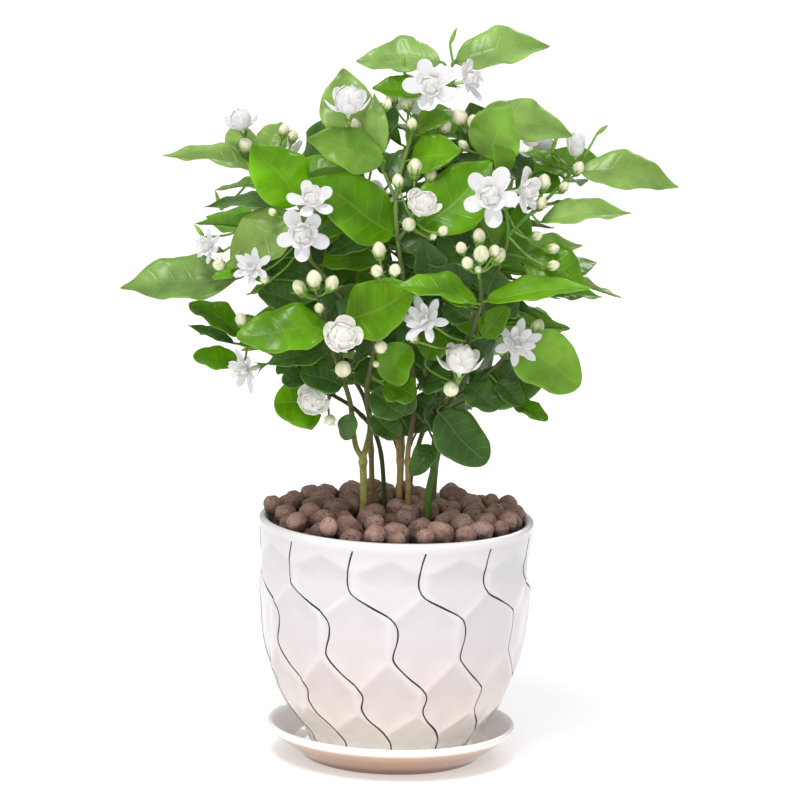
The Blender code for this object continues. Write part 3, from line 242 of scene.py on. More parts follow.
# Blooms in the photograph: branch, centre pixel, how far it stands before its branch, diameter in mm,
# style and facing
FRONT_BLOOMS = (
    ("upper_middle", (349, 103), 24, 30, "cup", (0.0, -0.35, 1.0)),
    ("upper_left", (241, 122), 6, 23, "cup", (-0.25, -0.3, 1.0)),
    ("centre", (432, 85), 8, 32, "open", (-0.2, -1.0, 0.35)),
    ("top", (466, 81), 6, 26, "open", (0.9, -0.5, 0.3)),
    ("far_right", (576, 148), 4, 21, "closed", (0.0, -0.1, 1.0)),
    ("upper_left", (311, 203), 26, 27, "open", (0.1, -0.7, 0.75)),
    ("far_left", (303, 235), 20, 31, "open", (0.0, -1.0, 0.15)),
    ("far_left", (254, 268), 16, 25, "star", (-0.3, -0.9, 0.35)),
    ("far_left", (211, 247), 6, 21, "star", (-0.6, -0.6, 0.3)),
    ("rose_spray", (422, 206), 10, 26, "ball", (0.15, -0.6, 0.8)),
    ("back_right", (491, 197), 30, 34, "open", (-0.1, -1.0, 0.3)),
    ("far_right", (522, 191), 18, 28, "open", (0.95, -0.45, 0.2)),
    ("right_trunk", (426, 321), 12, 31, "star", (-0.35, -0.9, 0.35)),
    ("low_right", (516, 344), 18, 30, "star", (0.25, -0.95, 0.3)),
    ("left_fork", (342, 338), 20, 30, "ball", (0.1, -0.85, 0.6)),
    ("low_left", (248, 370), 10, 27, "star", (-0.7, -0.6, -0.15)),
    ("low_left", (311, 402), 24, 26, "ball", (0.15, -0.85, 0.55)),
    ("right_trunk", (461, 362), 14, 31, "cup", (0.1, -0.35, 1.0)),
)

# Buds in the photograph: branch, centre pixel, radius in pixels and how far they stand before it in mm
FRONT_BUDS = (
    ("upper_left", (246, 146), 7, 8),
    ("upper_middle", (354, 130), 8, 16),
    ("upper_middle", (387, 105), 5, 6),
    ("centre", (406, 104), 6, 6),
    ("centre", (445, 127), 6, 10),
    ("upper_right", (460, 117), 8, 10),
    ("upper_right", (474, 123), 7, 14),
    ("rose_spray", (398, 181), 6, 2),
    ("rose_spray", (415, 172), 8, 2),
    ("rose_spray", (431, 180), 6, 4),
    ("rose_spray", (409, 225), 7, 14),
    ("middle_fork", (379, 250), 7, 6),
    ("middle_fork", (377, 266), 6, 10),
    ("middle_fork", (395, 265), 6, 8),
    ("right_trunk", (479, 236), 6.5, 2),
    ("right_trunk", (481, 249), 8, 12),
    ("right_trunk", (494, 246), 5.5, 4),
    ("right_trunk", (467, 258), 6, 8),
    ("right_trunk", (499, 258), 7, 8),
    ("left_fork", (314, 279), 8, 6),
    ("left_fork", (332, 283), 7, 8),
    ("left_fork", (299, 290), 7, 8),
    ("far_left", (220, 260), 6, 8),
    ("low_left", (242, 314), 6, 8),
    ("left_fork", (343, 369), 8.5, 16),
    ("middle_fork", (381, 347), 6.5, 10),
    ("right_trunk", (451, 389), 8, 16),
    ("low_left", (330, 420), 6, 20),
    ("low_right", (538, 332), 7, 14),
    ("far_right", (544, 182), 7, 12),
    ("far_right", (553, 248), 5.5, 6),
    ("far_right", (553, 264), 5.5, 6),
)
# Young shoot tips: branch, lower and upper pixel
SHOOT_TIPS = (
    ("top", (450, 44), (457, 27)),
    ("centre", (405, 76), (403, 54)),
    ("far_right", (551, 154), (559, 131)),
    ("far_right", (597, 134), (608, 125)),
    ("upper_left", (221, 210), (215, 190)),
)

# Stems of the far side: node, root in mm, then branches as direction in degrees, reach and top height
# in mm and end
BACK_STEMS = (
    ("stem_back_left", (-17, 40),
     ((170, 86, 345, "buds"), (134, 100, 372, "bloom"), (150, 94, 276, "leaves"), (196, 58, 318, "leaves"))),
    ("stem_back", (2, 52),
     ((98, 106, 334, "bloom"), (90, 58, 412, "bloom"), (112, 80, 262, "leaves"), (200, 30, 378, "leaves"))),
    ("stem_back_right", (24, 34),
     ((12, 86, 322, "buds"), (46, 106, 380, "bloom"), (62, 98, 280, "leaves"), (340, 62, 330, "leaves"))),
)
BACK_FORK_HEIGHT = 215
# How much further out than its root a far stem forks, how much further out its branches rise first, and the
# share of their climb in which they do
BACK_FORK_SPREAD = 1.15
BACK_RISE_SPREAD = 1.3
BACK_RISE_SHARE = 0.55
# Radii in mm of a far stem at its end, collar and fork, and of its branches at each step
BACK_STEM_RADII = (1.9, 1.9, 1.7)
BACK_BRANCH_RADII = (1.6, 1.45, 1.3, 1.15, 1.0)
BACK_BRANCH_STEPS = 4
# Places along a far branch at which a pair of leaves stands, and the leaves' length in mm
BACK_PAIR_PLACES = (0.6, 0.97)
BACK_LEAF_LENGTH = (48, 68)
BACK_BLOOM_DIAMETER = 30 * MM
BACK_BUD_RADIUS = 4.2 * MM

# Moves in depth (mm) that a leaf's base and tip, or a bloom or a bud, try in turn until there is room
FRONT_LEAF_MOVES = ((0, 0), (3, 4), (-3, -4), (5, 8), (0, 10), (8, 14), (-5, -8), (4, 20), (0, -10),
                    (12, 22), (-8, -14), (0, 30), (-4, -20), (18, 30), (-12, -22), (0, -30), (-18, -30))
BACK_LEAF_MOVES = ((0, 0), (3, 6), (-3, -6), (6, 12), (-6, -12), (0, 18), (0, -18))
BLOOM_MOVES = (0, -4, 4, -8, 8, -12, 12, -16, 16, -22, -28)
BUD_MOVES = (0, -3, 3, -6, 6, -10, 10, -15, 15, -20, 20)
FAR_BUD_MOVE = 16

# Base colours, linear
LEAF_TINTS = {
    "bright": (0.105, 0.280, 0.002),
    "pale": (0.215, 0.352, 0.080),
    "light": (0.250, 0.412, 0.095),
    "soft": (0.155, 0.265, 0.060),
    "fresh": (0.150, 0.310, 0.034),
    "mid": (0.082, 0.205, 0.005),
    # The dark tone: partly the leaves' own deeper green, partly painted shade for leaves inside the crown
    "dark": (0.054, 0.116, 0.027),
}
# Which of the photograph's leaves are of another tone than mid, by their place in FRONT_LEAVES
LEAF_TONES = {
    "pale": (3, 4, 10, 11, 12, 18, 19, 20, 21),
    "fresh": (5, 9, 46),
    "light": (0, 1),
    "soft": (23,),
    "bright": (2, 6, 7, 16, 17, 24, 27, 29, 32, 33, 35, 36, 53),
    "dark": (22, 26, 30, 31, 34, 41, 42, 48, 49, 50, 51, 52, 57, 58, 59, 60),
}
STEM_TINTS = {
    "stem_left": ((0.40, 0.39, 0.10), (0.15, 0.26, 0.03)),
    "stem_dark": ((0.06, 0.09, 0.02), (0.08, 0.20, 0.03)),
    "stem_tan": ((0.47, 0.34, 0.13), (0.16, 0.27, 0.05)),
    "stem_centre": ((0.47, 0.34, 0.13), (0.14, 0.26, 0.05)),
    "stem_right": ((0.080, 0.223, 0.021), (0.10, 0.27, 0.03)),
    "stem_right_back": ((0.12, 0.20, 0.03), (0.10, 0.26, 0.03)),
    "stem_back_left": ((0.30, 0.22, 0.07), (0.10, 0.26, 0.03)),
    "stem_back": ((0.30, 0.22, 0.07), (0.10, 0.26, 0.03)),
    "stem_back_right": ((0.16, 0.20, 0.04), (0.10, 0.26, 0.03)),
}
CALYX_TINT = (0.20, 0.38, 0.055)
SPEAR_TINT = (0.26, 0.46, 0.05)
BUD_GREEN = (0.40, 0.52, 0.14)
BUD_CREAM = (0.88, 0.84, 0.62)
PETAL_COOL = (0.815, 0.800, 0.850)
PETAL_WARM = (0.860, 0.835, 0.785)
PETAL_HEART = (0.850, 0.830, 0.760)
PETAL_FOOT = (0.66, 0.72, 0.45)
PETAL_TUBE = (0.62, 0.72, 0.40)
# Blooms in the crown's shade that the photograph has bright
# Painted light: these blooms' tint is raised by these shares against the crown's shade
BLOOM_PAINTED_LIGHT = {"bloom_15": 1.05, "bloom_17": 1.13}
WARM_BLOOMS = ("bloom_10", "bloom_15", "bloom_17", "bloom_18")
# The pot's tints by height in mm, from its foot to its lip, with painted light in them: lighter at the foot
# against the saucer's shade, warmer on the lower wall as painted warm bounce light, darker just below the lip
# as painted shade and lighter on the lip as a painted highlight
GLAZE_TINTS_AND_PAINTED_LIGHT = ((5, (1.0, 0.99, 0.97)), (25, (0.98, 0.95, 0.92)), (40, (0.77, 0.67, 0.62)),
               (60, (0.72, 0.63, 0.61)), (80, (0.725, 0.660, 0.665)), (120, (0.725, 0.685, 0.695)),
               (142, (0.71, 0.675, 0.69)), (153, (0.665, 0.63, 0.65)), (156, (0.82, 0.80, 0.81)),
               (160, (0.86, 0.84, 0.85)))
# The saucer's tints along its section: floor, inner wall, rim, outer wall, foot, underside; the outer wall,
# foot and underside go peach and darker downwards, as painted warm bounce light and painted shade
SAUCER_TINTS_AND_PAINTED_LIGHT = ((0.0, (0.94, 0.87, 0.80)), (0.36, (0.92, 0.85, 0.78)), (0.455, (0.82, 0.77, 0.73)),
                (0.472, (0.93, 0.91, 0.90)), (0.512, (0.93, 0.90, 0.88)), (0.526, (0.58, 0.39, 0.275)),
                (0.56, (0.49, 0.27, 0.155)), (0.60, (0.43, 0.22, 0.120)), (0.66, (0.28, 0.14, 0.085)),
                (1.0, (0.26, 0.15, 0.10)))
LINE_TINT = (0.016, 0.013, 0.013)
# Two clays that a pebble's tint lies between, and the redder one that some take on
CLAY_TINTS = ((0.27, 0.150, 0.120), (0.43, 0.265, 0.222), (0.54, 0.300, 0.215))
CLAY_DUST = (0.58, 0.42, 0.37)
# Tint of the pores: painted shade in their hollows
CLAY_PORE_PAINTED_SHADE = (0.022, 0.013, 0.011)
# Painted shade in the gaps under the heap's top: how dark the pebbles are there, and how deep in mm it is as
# dark as that
CLAY_GAP_PAINTED_SHADE = 0.26
CLAY_GAP_DEPTH = 15
FLOOR_SIZE = 24.0
FLOOR_TINT = (0.62, 0.62, 0.62)
FLOOR_GLOW = 0.46
WORLD_TINT = (0.97, 0.985, 1.0)
# The room's brightness at the horizon and overhead
WORLD_STRENGTHS = (0.27, 0.84)
# The sun's direction of travel, strength, spread in degrees and tint
SUN = ((0.12, 0.38, -0.90), 1.70, 18.0, (1.0, 0.985, 0.96))
# Lamps: name, place, target, size (m), watts, tint and whether it shines in the glaze
LAMPS = (
    ("window", (-1.1, -2.2, 1.3), (0, 0, 0.33), 0.7, 2.5, (1.0, 0.99, 0.97), True),
    ("low_window", (-0.3, -2.2, 0.66), (0, 0, 0.06), 0.7, 9, (1.0, 0.98, 0.96), False),
    ("back", (0.6, 1.7, 1.4), (0, 0, 0.33), 0.8, 7, (1.0, 1.0, 1.0), True),
)

# Fine leaves: rows and columns, how much closer the rows lie at the tip, and the side veins with their slant
# and how much they pucker the blade
LARGE_GRID = (30, 10)
SMALL_GRID = (18, 6)
LEAF_ROW_CROWDING = 0.35
VEINS = 6.5
VEIN_SLANT = 0.95
LEAF_PUCKER = 0.6 * MM
# Fine waves along a leaf's edge: how many, and their height over the leaf's width
EDGE_WAVES = 6
EDGE_WAVE_HEIGHT = 0.012
# Widths over lengths between which a leaf goes from a pointed to a blunt tip, the heights over which that
# wanes, and how much of it stays above them
BLUNT_BREADTHS = (0.46, 0.60)
BLUNT_HEIGHTS = (0.27, 0.33)
BLUNT_HIGH_SHARE = 0.25
LEAF_SHEET = 0.35 * MM
# A leaf's petiole and the midrib under its blade, as steps along them and radii in mm
PETIOLE_STEPS = 6
PETIOLE_RADIUS = 0.85
RIB_STEPS = 12
RIB_RADII = (0.75, 0.15)
RIB_DROP = 0.55 * MM
# Fine stems: steps between two points of their course, sides, and how far apart their joints are, how much
# they swell there and how short the swelling is
SHOOT_STEPS = 8
SHOOT_SIDES = 10
JOINT_SPACING = 38 * MM
JOINT_SWELLING = 0.34
JOINT_SHARPNESS = 24
# Radii in mm along a calyx lobe and along a young tip's leaf
LOBE_RADII = (0.55, 0.5, 0.32, 0.08)
SPEAR_RADII = (0.6, 1.1, 1.35, 1.3, 1.0, 0.6, 0.12)
# Inner leaves that fill the crown: how far apart they are tried, length, width over length, shortest petiole,
# lowest place and how far behind its branch's end a leaf takes the dark tint as painted shade
FILLER_SPACING = 4 * MM
FILLER_LENGTH = (34 * MM, 58 * MM)
FILLER_BREADTH = (0.46, 0.58)
FILLER_PETIOLE = 5 * MM
FILLER_LOWEST = 0.235
FILLER_DEEP = 8 * MM
# The middle of the crown, where leaves stand on longer stalks: two corners, tries, longest stalk and width
# over length
HOLLOW_BOX = ((-0.10, -0.045, 0.31), (0.11, 0.065, 0.435))
HOLLOW_TRIES = 700
HOLLOW_STALK = 55 * MM
HOLLOW_BREADTH = (0.48, 0.60)
# The crown's dense part in the photograph, as pixels round it
CROWN_OUTLINE = ((345, 80), (395, 95), (470, 100), (520, 110), (560, 150), (585, 185), (575, 240),
                 (590, 290), (570, 320), (560, 370), (530, 400), (490, 400), (470, 430), (420, 430),
                 (380, 440), (350, 400), (300, 395), (270, 360), (230, 345), (250, 290), (215, 250),
                 (215, 200), (250, 170), (255, 150), (300, 140), (320, 100))

# Rings of fine petals: count, opening angle, length over diameter, width over length, cup, raised tip and
# turn in steps
FINE_STYLES = {
    "open": ((5, 74, 0.53, 0.60, 0.24, 0.0, 0.5), (5, 48, 0.38, 0.70, 0.42, 0.10, 1.0)),
    "cup": ((5, 72, 0.51, 0.60, 0.55, 0.30, 0.5), (4, 44, 0.42, 0.74, 0.70, 0.12, 1.0)),
    "star": ((6, 76, 0.50, 0.40, 0.16, 0.0, 0.5), (6, 50, 0.42, 0.42, 0.25, 0.05, 1.0),
             (5, 24, 0.33, 0.46, 0.40, 0.1, 0.3)),
    "ball": ((5, 62, 0.46, 0.92, 0.62, 0.12, 0.5), (5, 40, 0.42, 0.92, 0.72, 0.15, 1.0)),
    "closed": ((5, 27, 0.66, 0.50, 0.42, 0.1, 0.5), (4, 12, 0.56, 0.50, 0.50, 0.1, 0.2)),
}
# How far under the middle of its solid each bloom's petals join, over its diameter
BLOOM_DROPS = {"open": 0.0, "cup": 0.17, "star": 0.0, "ball": 0.11, "closed": 0.20}
# Each bloom's closed heart, over its diameter: radius, lift and stretch, then the petals that wrap it: count,
# breadth over the heart's radius, how far they close and turn in steps
HEARTS = {
    "open": (0.165, 0.14, 1.1, ((4, 1.06, 0.84, 0.3), (4, 1.15, 0.62, 0.8))),
    "cup": (0.265, 0.25, 1.05, ((4, 1.04, 0.86, 0.3), (5, 1.11, 0.68, 0.8))),
    "star": (0.055, 0.12, 1.9, ((4, 1.30, 0.80, 0.3),)),
    "ball": (0.265, 0.20, 0.95, ((4, 1.04, 0.88, 0.6), (5, 1.12, 0.72, 0.2), (5, 1.24, 0.56, 0.7))),
    "closed": (0.245, 0.32, 1.35, ((4, 1.06, 0.86, 0.2), (4, 1.13, 0.66, 0.7))),
}
# A heart's or bud's rows and corners, and how deep the grooves between its petals are and how dark their
# painted shade is
EGG_ROWS = 12
EGG_CORNERS = 20
GROOVE_DEPTH = 0.06
GROOVE_PAINTED_SHADE = 0.22
PETAL_ROWS = 12
PETAL_COLUMNS = 6
PETAL_SHEET = 0.35 * MM
# Where a petal is widest, from its foot 0 to its tip 1, and how far up it one that wraps the heart begins
PETAL_WIDEST = 0.62
WRAP_FOOT = 0.3

# Steps up the pot's wall, columns round the pot and the saucer, and how their edges are rounded: reach in mm
# and steps
WALL_STEPS = 96
POT_COLUMNS = 288
SAUCER_COLUMNS = 192
LIP_ROUNDING = (3.0, 4)
SAUCER_ROUNDING = (2.2, 5)
# How wide the edge of the pot's floor slopes up to its wall
FLOOR_EDGE = 4
# Glaze relief in mm
DIMPLE_REACH = 15.0
RIDGE_ROUNDING = 0.6
# Painted shade and highlight: how much darker the glaze is in a dimple and lighter on a ridge
RIDGE_PAINTED_SHADE_AND_HIGHLIGHT = (0.965, 1.06)
# How much painted shade follows a dimple's slope, as under light from above: darker under the ridge above,
# lighter over the one below
SLOPE_PAINTED_SHADE = 0.22
LOW_SLOPE_PAINTED_SHADE = 0.36
# One painted line: turn in degrees from its start and height in mm
LINE_COURSE = ((-0.7, 153.2), (-2, 146), (-3, 137), (-2.8, 130), (0, 123.5), (8.5, 116.5),
               (15.5, 110.5), (18.5, 104), (18.8, 96), (17.2, 86), (18, 80.5), (24, 71), (30.5, 63),
               (33.5, 56), (32.5, 47), (35.5, 39.5), (42, 31.5), (47, 22), (47.5, 14), (48, 7))
LINE_COUNT = 12
LINE_STEPS = 150
LINE_START = -17.0
LINE_WIDTH = 1.3
# A painted line's section: side from -1 to 1 and how proud of the glaze it stands in mm
LINE_SECTION = ((-1, -0.05), (-0.5, 0.12), (0.5, 0.12), (1, -0.05))

# Radii of the pebbles in mm, and of the small ones in the gaps along the pot's wall
PEBBLE_SIZES = (7.2, 8.2, 9.0, 9.6, 10.2, 10.9)
EDGE_PEBBLES = (6.4, 7.0, 7.6)
# Places round the pot where a small pebble is tried, and distances from the axis in mm
EDGE_PLACES = 120
EDGE_DISTANCES = (83, 81, 79, 77, 75)
# Seats that each pebble tries, and pebbles without a seat after which the heap is full
PEBBLE_TRIES = 60
PEBBLE_MISSES = 90
PEBBLE_REACH = 87
# How close two pebbles lie, over the sum of their radii
PEBBLE_CLOSENESS = 0.97
# Heights in mm that the heap reaches at its edge and in its middle, and how far below them pebbles still show
MOUND_EDGE = 170
MOUND_MIDDLE = 171
SEEN_DEPTH = 9
# Buds that stand only here: branch, pixel, radius in pixels and how far they stand before it in mm
SMALL_BUDS = (
    ("upper_left", (293, 136), 5, 8), ("upper_left", (284, 130), 5.5, 8), ("upper_right", (463, 145), 5, 10),
    ("centre", (412, 124), 5.5, 10), ("rose_spray", (443, 226), 5, 8), ("rose_spray", (433, 236), 3.5, 6),
    ("right_trunk", (461, 243), 5.5, 8), ("right_trunk", (478, 267), 3.5, 12),
    ("right_trunk", (413, 338), 5, 18), ("left_fork", (319, 308), 5, 10), ("far_right", (537, 236), 5, 8),
    ("far_right", (564, 187), 5, 6), ("far_right", (578, 166), 6, 4), ("far_right", (527, 172), 5, 10),
    ("far_right", (541, 203), 6, 10), ("upper_left", (257, 212), 5.5, 8), ("upper_left", (273, 210), 4, 8),
    ("far_left", (265, 279), 4.5, 12), ("middle_fork", (376, 364), 3.5, 12), ("low_left", (303, 350), 3, 8),
)
# Young tips that stand only here: branch, lower and upper pixel
SMALL_TIPS = (("far_left", (248, 251), (240, 231)), ("far_left", (204, 237), (194, 224)))
# Inner leaves that close the gaps that the photograph has dark: branch, base and tip pixel, how far the tip
# lies behind the base and width in mm, and turn of the upper face towards the viewer in degrees
INNER_LEAVES = (
    ("left_fork", (352, 412), (345, 438), 4, 13, 60), ("centre", (412, 400), (440, 420), 10, 24, 50),
    ("centre", (412, 380), (386, 410), 10, 26, 55), ("right_trunk", (452, 384), (474, 412), 12, 24, 50),
    ("back_right", (440, 392), (462, 424), 10, 26, 55), ("back_right", (452, 362), (430, 392), 12, 26, 55),
    ("back_right", (464, 338), (492, 366), 12, 28, 50), ("centre", (411, 345), (436, 372), 12, 28, 55),
    ("centre", (408, 320), (380, 346), 12, 28, 50), ("middle_fork", (374, 350), (350, 374), 12, 24, 50),
    ("left_fork", (338, 366), (312, 346), 12, 26, 50), ("far_left", (342, 298), (318, 322), 12, 26, 50),
    ("centre", (404, 285), (432, 306), 12, 28, 50), ("back_right", (488, 292), (516, 312), 12, 28, 45),
    ("centre", (400, 262), (446, 240), 12, 30, 50), ("centre", (399, 250), (438, 226), 16, 26, 50),
    ("centre", (408, 312), (450, 318), 12, 30, 55), ("centre", (410, 336), (450, 344), 14, 28, 55),
    ("back_right", (466, 335), (436, 318), 12, 28, 55), ("right_trunk", (455, 378), (424, 386), 12, 26, 55),
    ("centre", (412, 372), (436, 396), 12, 24, 55), ("back_right", (488, 292), (496, 262), 10, 24, 50),
    ("centre", (398, 236), (360, 222), 12, 28, 50), ("upper_middle", (390, 184), (430, 150), 12, 26, 50),
    ("upper_right", (489, 152), (470, 104), 12, 26, 55), ("upper_middle", (367, 143), (392, 104), 10, 26, 55),
    ("low_right", (494, 368), (522, 388), 12, 22, 50), ("far_left", (372, 350), (350, 322), 10, 26, 55),
    ("centre", (411, 440), (396, 412), 8, 22, 60), ("centre", (410, 432), (428, 408), 10, 22, 55),
    ("right_trunk", (438, 430), (424, 406), 10, 20, 55), ("rose_spray", (446, 264), (470, 236), 12, 28, 50),
    ("centre", (402, 292), (384, 264), 14, 26, 55), ("upper_right", (490, 178), (460, 154), 14, 24, 50),
    ("centre", (399, 224), (414, 200), 16, 20, 50), ("middle_fork", (372, 404), (388, 426), 10, 22, 58),
    ("centre", (412, 330), (396, 304), 14, 24, 55), ("left_fork", (344, 320), (360, 300), 12, 20, 50),
    ("middle_fork", (376, 392), (366, 358), 14, 22, 58), ("right_trunk", (472, 320), (444, 304), 14, 22, 55),
)
# Thin bare twigs: node, the pixel where each leaves its stem, then pixels with depths behind it in mm
TWIGS = (
    ("stem_tan", (399, 456), ((391, 430, -6), (386, 406, -14))),
    ("stem_tan", (397, 444), ((403, 424, -6), (414, 402, -12))),
    ("stem_centre", (408, 448), ((420, 426, -6), (434, 404, -14))),
    ("stem_centre", (411, 432), ((430, 414, -8), (456, 392, -18))),
    ("stem_right", (435, 442), ((426, 424, -4), (418, 402, -8))),
    ("stem_right_back", (424, 430), ((446, 412, -8), (474, 396, -16))),
    ("stem_right", (443, 407), ((462, 396, 4), (486, 384, 8))),
    ("stem_centre", (412, 396), ((424, 380, -6), (440, 366, -10))),
)
TWIG_TINT = (0.060, 0.036, 0.018)
# Painted shadow of the crown on the bark: how far its tint goes towards a dark one under the crown, and the
# heights between which that comes and goes
BARK_PAINTED_SHADOW = 0.88
BARK_PAINTED_SHADOW_TINT = (0.056, 0.054, 0.016)
BARK_PAINTED_SHADOW_HEIGHTS = (0.192, 0.226, 0.30, 0.36)


def in_mm(x, y, z):
    """A vector given in mm."""
    return Vector((x * MM, y * MM, z * MM))


def direction_at(side, other, angle):
    """The direction at an angle from one unit vector towards another that is square to it."""
    return side * cos(angle) + other * sin(angle)


def level_direction(degrees):
    return Vector((cos(radians(degrees)), sin(radians(degrees)), 0.0))


def bent(start, middle, end, steps):
    """Points of a curve that runs from start to end and bends towards the middle one."""
    points = []
    for step in range(steps + 1):
        t = step / steps
        points.append(start * (1 - t) ** 2 + middle * 2 * t * (1 - t) + end * t * t)
    return points


def tapered(first, last, count):
    """Radii that go evenly from a first to a last one, given in mm."""
    return [(first + (last - first) * index / (count - 1)) * MM for index in range(count)]


def on_round(reach, angle, height):
    """The place at a distance from the pot's axis, an angle round it and a height, in mm."""
    return reach * cos(angle) * MM, reach * sin(angle) * MM, height * MM


def linked(item):
    bpy.context.scene.collection.objects.link(item)
    return item


def sight_axes():
    """The photograph's right and up directions and the direction of its middle sight line."""
    forward = (AIM - EYE).normalized()
    right = direction_at(LEVEL, LEVEL.cross(forward), CAMERA_ROLL)
    return right, right.cross(forward), forward


def seen_at(pixel, depth):
    """The point that shows at a pixel of the photograph and lies this far (mm) behind the pot's axis."""
    right, up, forward = sight_axes()
    across = pixel[0] - MIDDLE_PIXEL
    down = pixel[1] - MIDDLE_PIXEL
    ray = forward * FOCAL_PIXELS + right * across - up * down
    return EYE + ray * ((depth * MM - EYE.y) / ray.y)


def evaluated_mesh(source):
    bpy.context.view_layer.update()
    graph = bpy.context.evaluated_depsgraph_get()
    return bpy.data.meshes.new_from_object(source.evaluated_get(graph))


def outward(shape):
    bmesh.ops.recalc_face_normals(shape, faces=shape.faces)
    return shape


def between(value, pairs):
    """Linear reading of a curve given as (position, value) pairs in rising order."""
    for (low, first), (high, second) in zip(pairs, pairs[1:]):
        if value <= high:
            return first + (second - first) * (value - low) / (high - low)
    return pairs[-1][1]


# Each branch's node and path, and its radii, by name
shoots = {}
shoot_radii = {}
# The far side's stems below their forks: node, path and radii
trunks = []
# What is placed so far: blooms, leaves, inner leaves, buds and shoot tips, each with its node
blooms = []
leaves = []
fillers = []
buds = []
tips = []
# Search trees of what the inner leaves must not hide from the viewer
seen_front = []
# Everything that is placed so far in the crown: node, kind, search tree and lowest and highest corner
taken = []


def corners_of(shape):
    low = Vector([min(point.co[axis] for point in shape.verts) for axis in range(3)])
    high = Vector([max(point.co[axis] for point in shape.verts) for axis in range(3)])
    return low, high


def is_clear(shape, node, own_kinds=()):
    """Whether a solid keeps clear of the other nodes, and of the named kinds of solid in its own node."""
    wide = shape.copy()
    wide.normal_update()
    shifts = [point.normal * SWELLING for point in wide.verts]
    for point, shift in zip(wide.verts, shifts):
        point.co += shift
    low, high = corners_of(wide)
    tree = BVHTree.FromBMesh(wide)
    wide.free()
    for other, kind, other_tree, other_low, other_high in taken:
        if other == node and kind not in own_kinds:
            continue
        apart = any(low[axis] > other_high[axis] or high[axis] < other_low[axis] for axis in range(3))
        if not apart and tree.overlap(other_tree):
            return False
    return True


def keep(shape, node, kind):
    low, high = corners_of(shape)
    taken.append((node, kind, BVHTree.FromBMesh(shape), low, high))
    shape.free()


def frame_along(direction):
    """Two unit vectors across a direction."""
    helper = UP if abs(direction.z) < 0.8 else LEVEL
    side = direction.cross(helper).normalized()
    return side, direction.cross(side).normalized()


def spindle(points, radii, sides, facing=None):
    """A closed loft of rings, each turned half a step from the last so that few sides look round.

    The rings stand across the run from first point to last, or after the first one across a given facing.
    """
    shape = bmesh.new()
    direction = (points[-1] - points[0]).normalized()
    first_side, _ = frame_along(direction)
    rings = []
    for index, (point, radius) in enumerate(zip(points, radii)):
        axis = facing if facing and index else direction
        side = (first_side - axis * first_side.dot(axis)).normalized()
        other = axis.cross(side)
        ring = []
        for corner in range(sides):
            angle = tau * (corner + index % 2 / 2) / sides
            ring.append(shape.verts.new(point + direction_at(side, other, angle) * radius))
        rings.append(ring)
    for index, (lower, upper) in enumerate(zip(rings, rings[1:])):
        for corner in range(sides):
            after = (corner + 1) % sides
            if index % 2 == 0:
                shape.faces.new((lower[corner], lower[after], upper[corner]))
                shape.faces.new((lower[after], upper[after], upper[corner]))
            else:
                shape.faces.new((lower[corner], upper[after], upper[corner]))
                shape.faces.new((lower[corner], lower[after], upper[after]))
    shape.faces.new(list(reversed(rings[0])))
    shape.faces.new(rings[-1])
    bmesh.ops.triangulate(shape, faces=shape.faces)
    return outward(shape)


def tube(points, radii, roundness):
    """A tapering rod along a path: four sides, and two more for each step of roundness."""
    curve = bpy.data.curves.new("path", "CURVE")
    curve.dimensions = "3D"
    curve.bevel_depth = 1.0
    curve.bevel_resolution = roundness
    curve.use_fill_caps = True
    path = curve.splines.new("POLY")
    path.points.add(len(points) - 1)
    for knot, point, radius in zip(path.points, points, radii):
        knot.co = (*point, 1.0)
        knot.radius = radius
    rod = linked(bpy.data.objects.new("path", curve))
    mesh = evaluated_mesh(rod)
    shape = bmesh.new()
    shape.from_mesh(mesh)
    bmesh.ops.remove_doubles(shape, verts=shape.verts, dist=MERGE_DISTANCE)
    bmesh.ops.triangulate(shape, faces=shape.faces)
    bpy.data.objects.remove(rod)
    bpy.data.meshes.remove(mesh)
    bpy.data.curves.remove(curve)
    return outward(shape)


def thickened(shape, shifts):
    """Makes an open sheet a closed blade with both faces split alike, from each point's own shift."""
    bmesh.ops.triangulate(shape, faces=shape.faces)
    made = bmesh.ops.extrude_face_region(shape, geom=list(shape.faces), use_keep_orig=True)
    for point in made["geom"]:
        if isinstance(point, bmesh.types.BMVert):
            point.co += shifts[point.co.to_tuple(8)]
    bmesh.ops.remove_doubles(shape, verts=shape.verts, dist=MERGE_DISTANCE)
    bmesh.ops.triangulate(shape, faces=shape.faces)
    return outward(shape)


def leaf_outline(place):
    """Half the width of a leaf, from 0 to 1, at a place between its base and its pointed tip."""
    return sin(pi * min(1.0, place) ** 0.8) ** 0.8 if 0 < place < 1 else 0.0


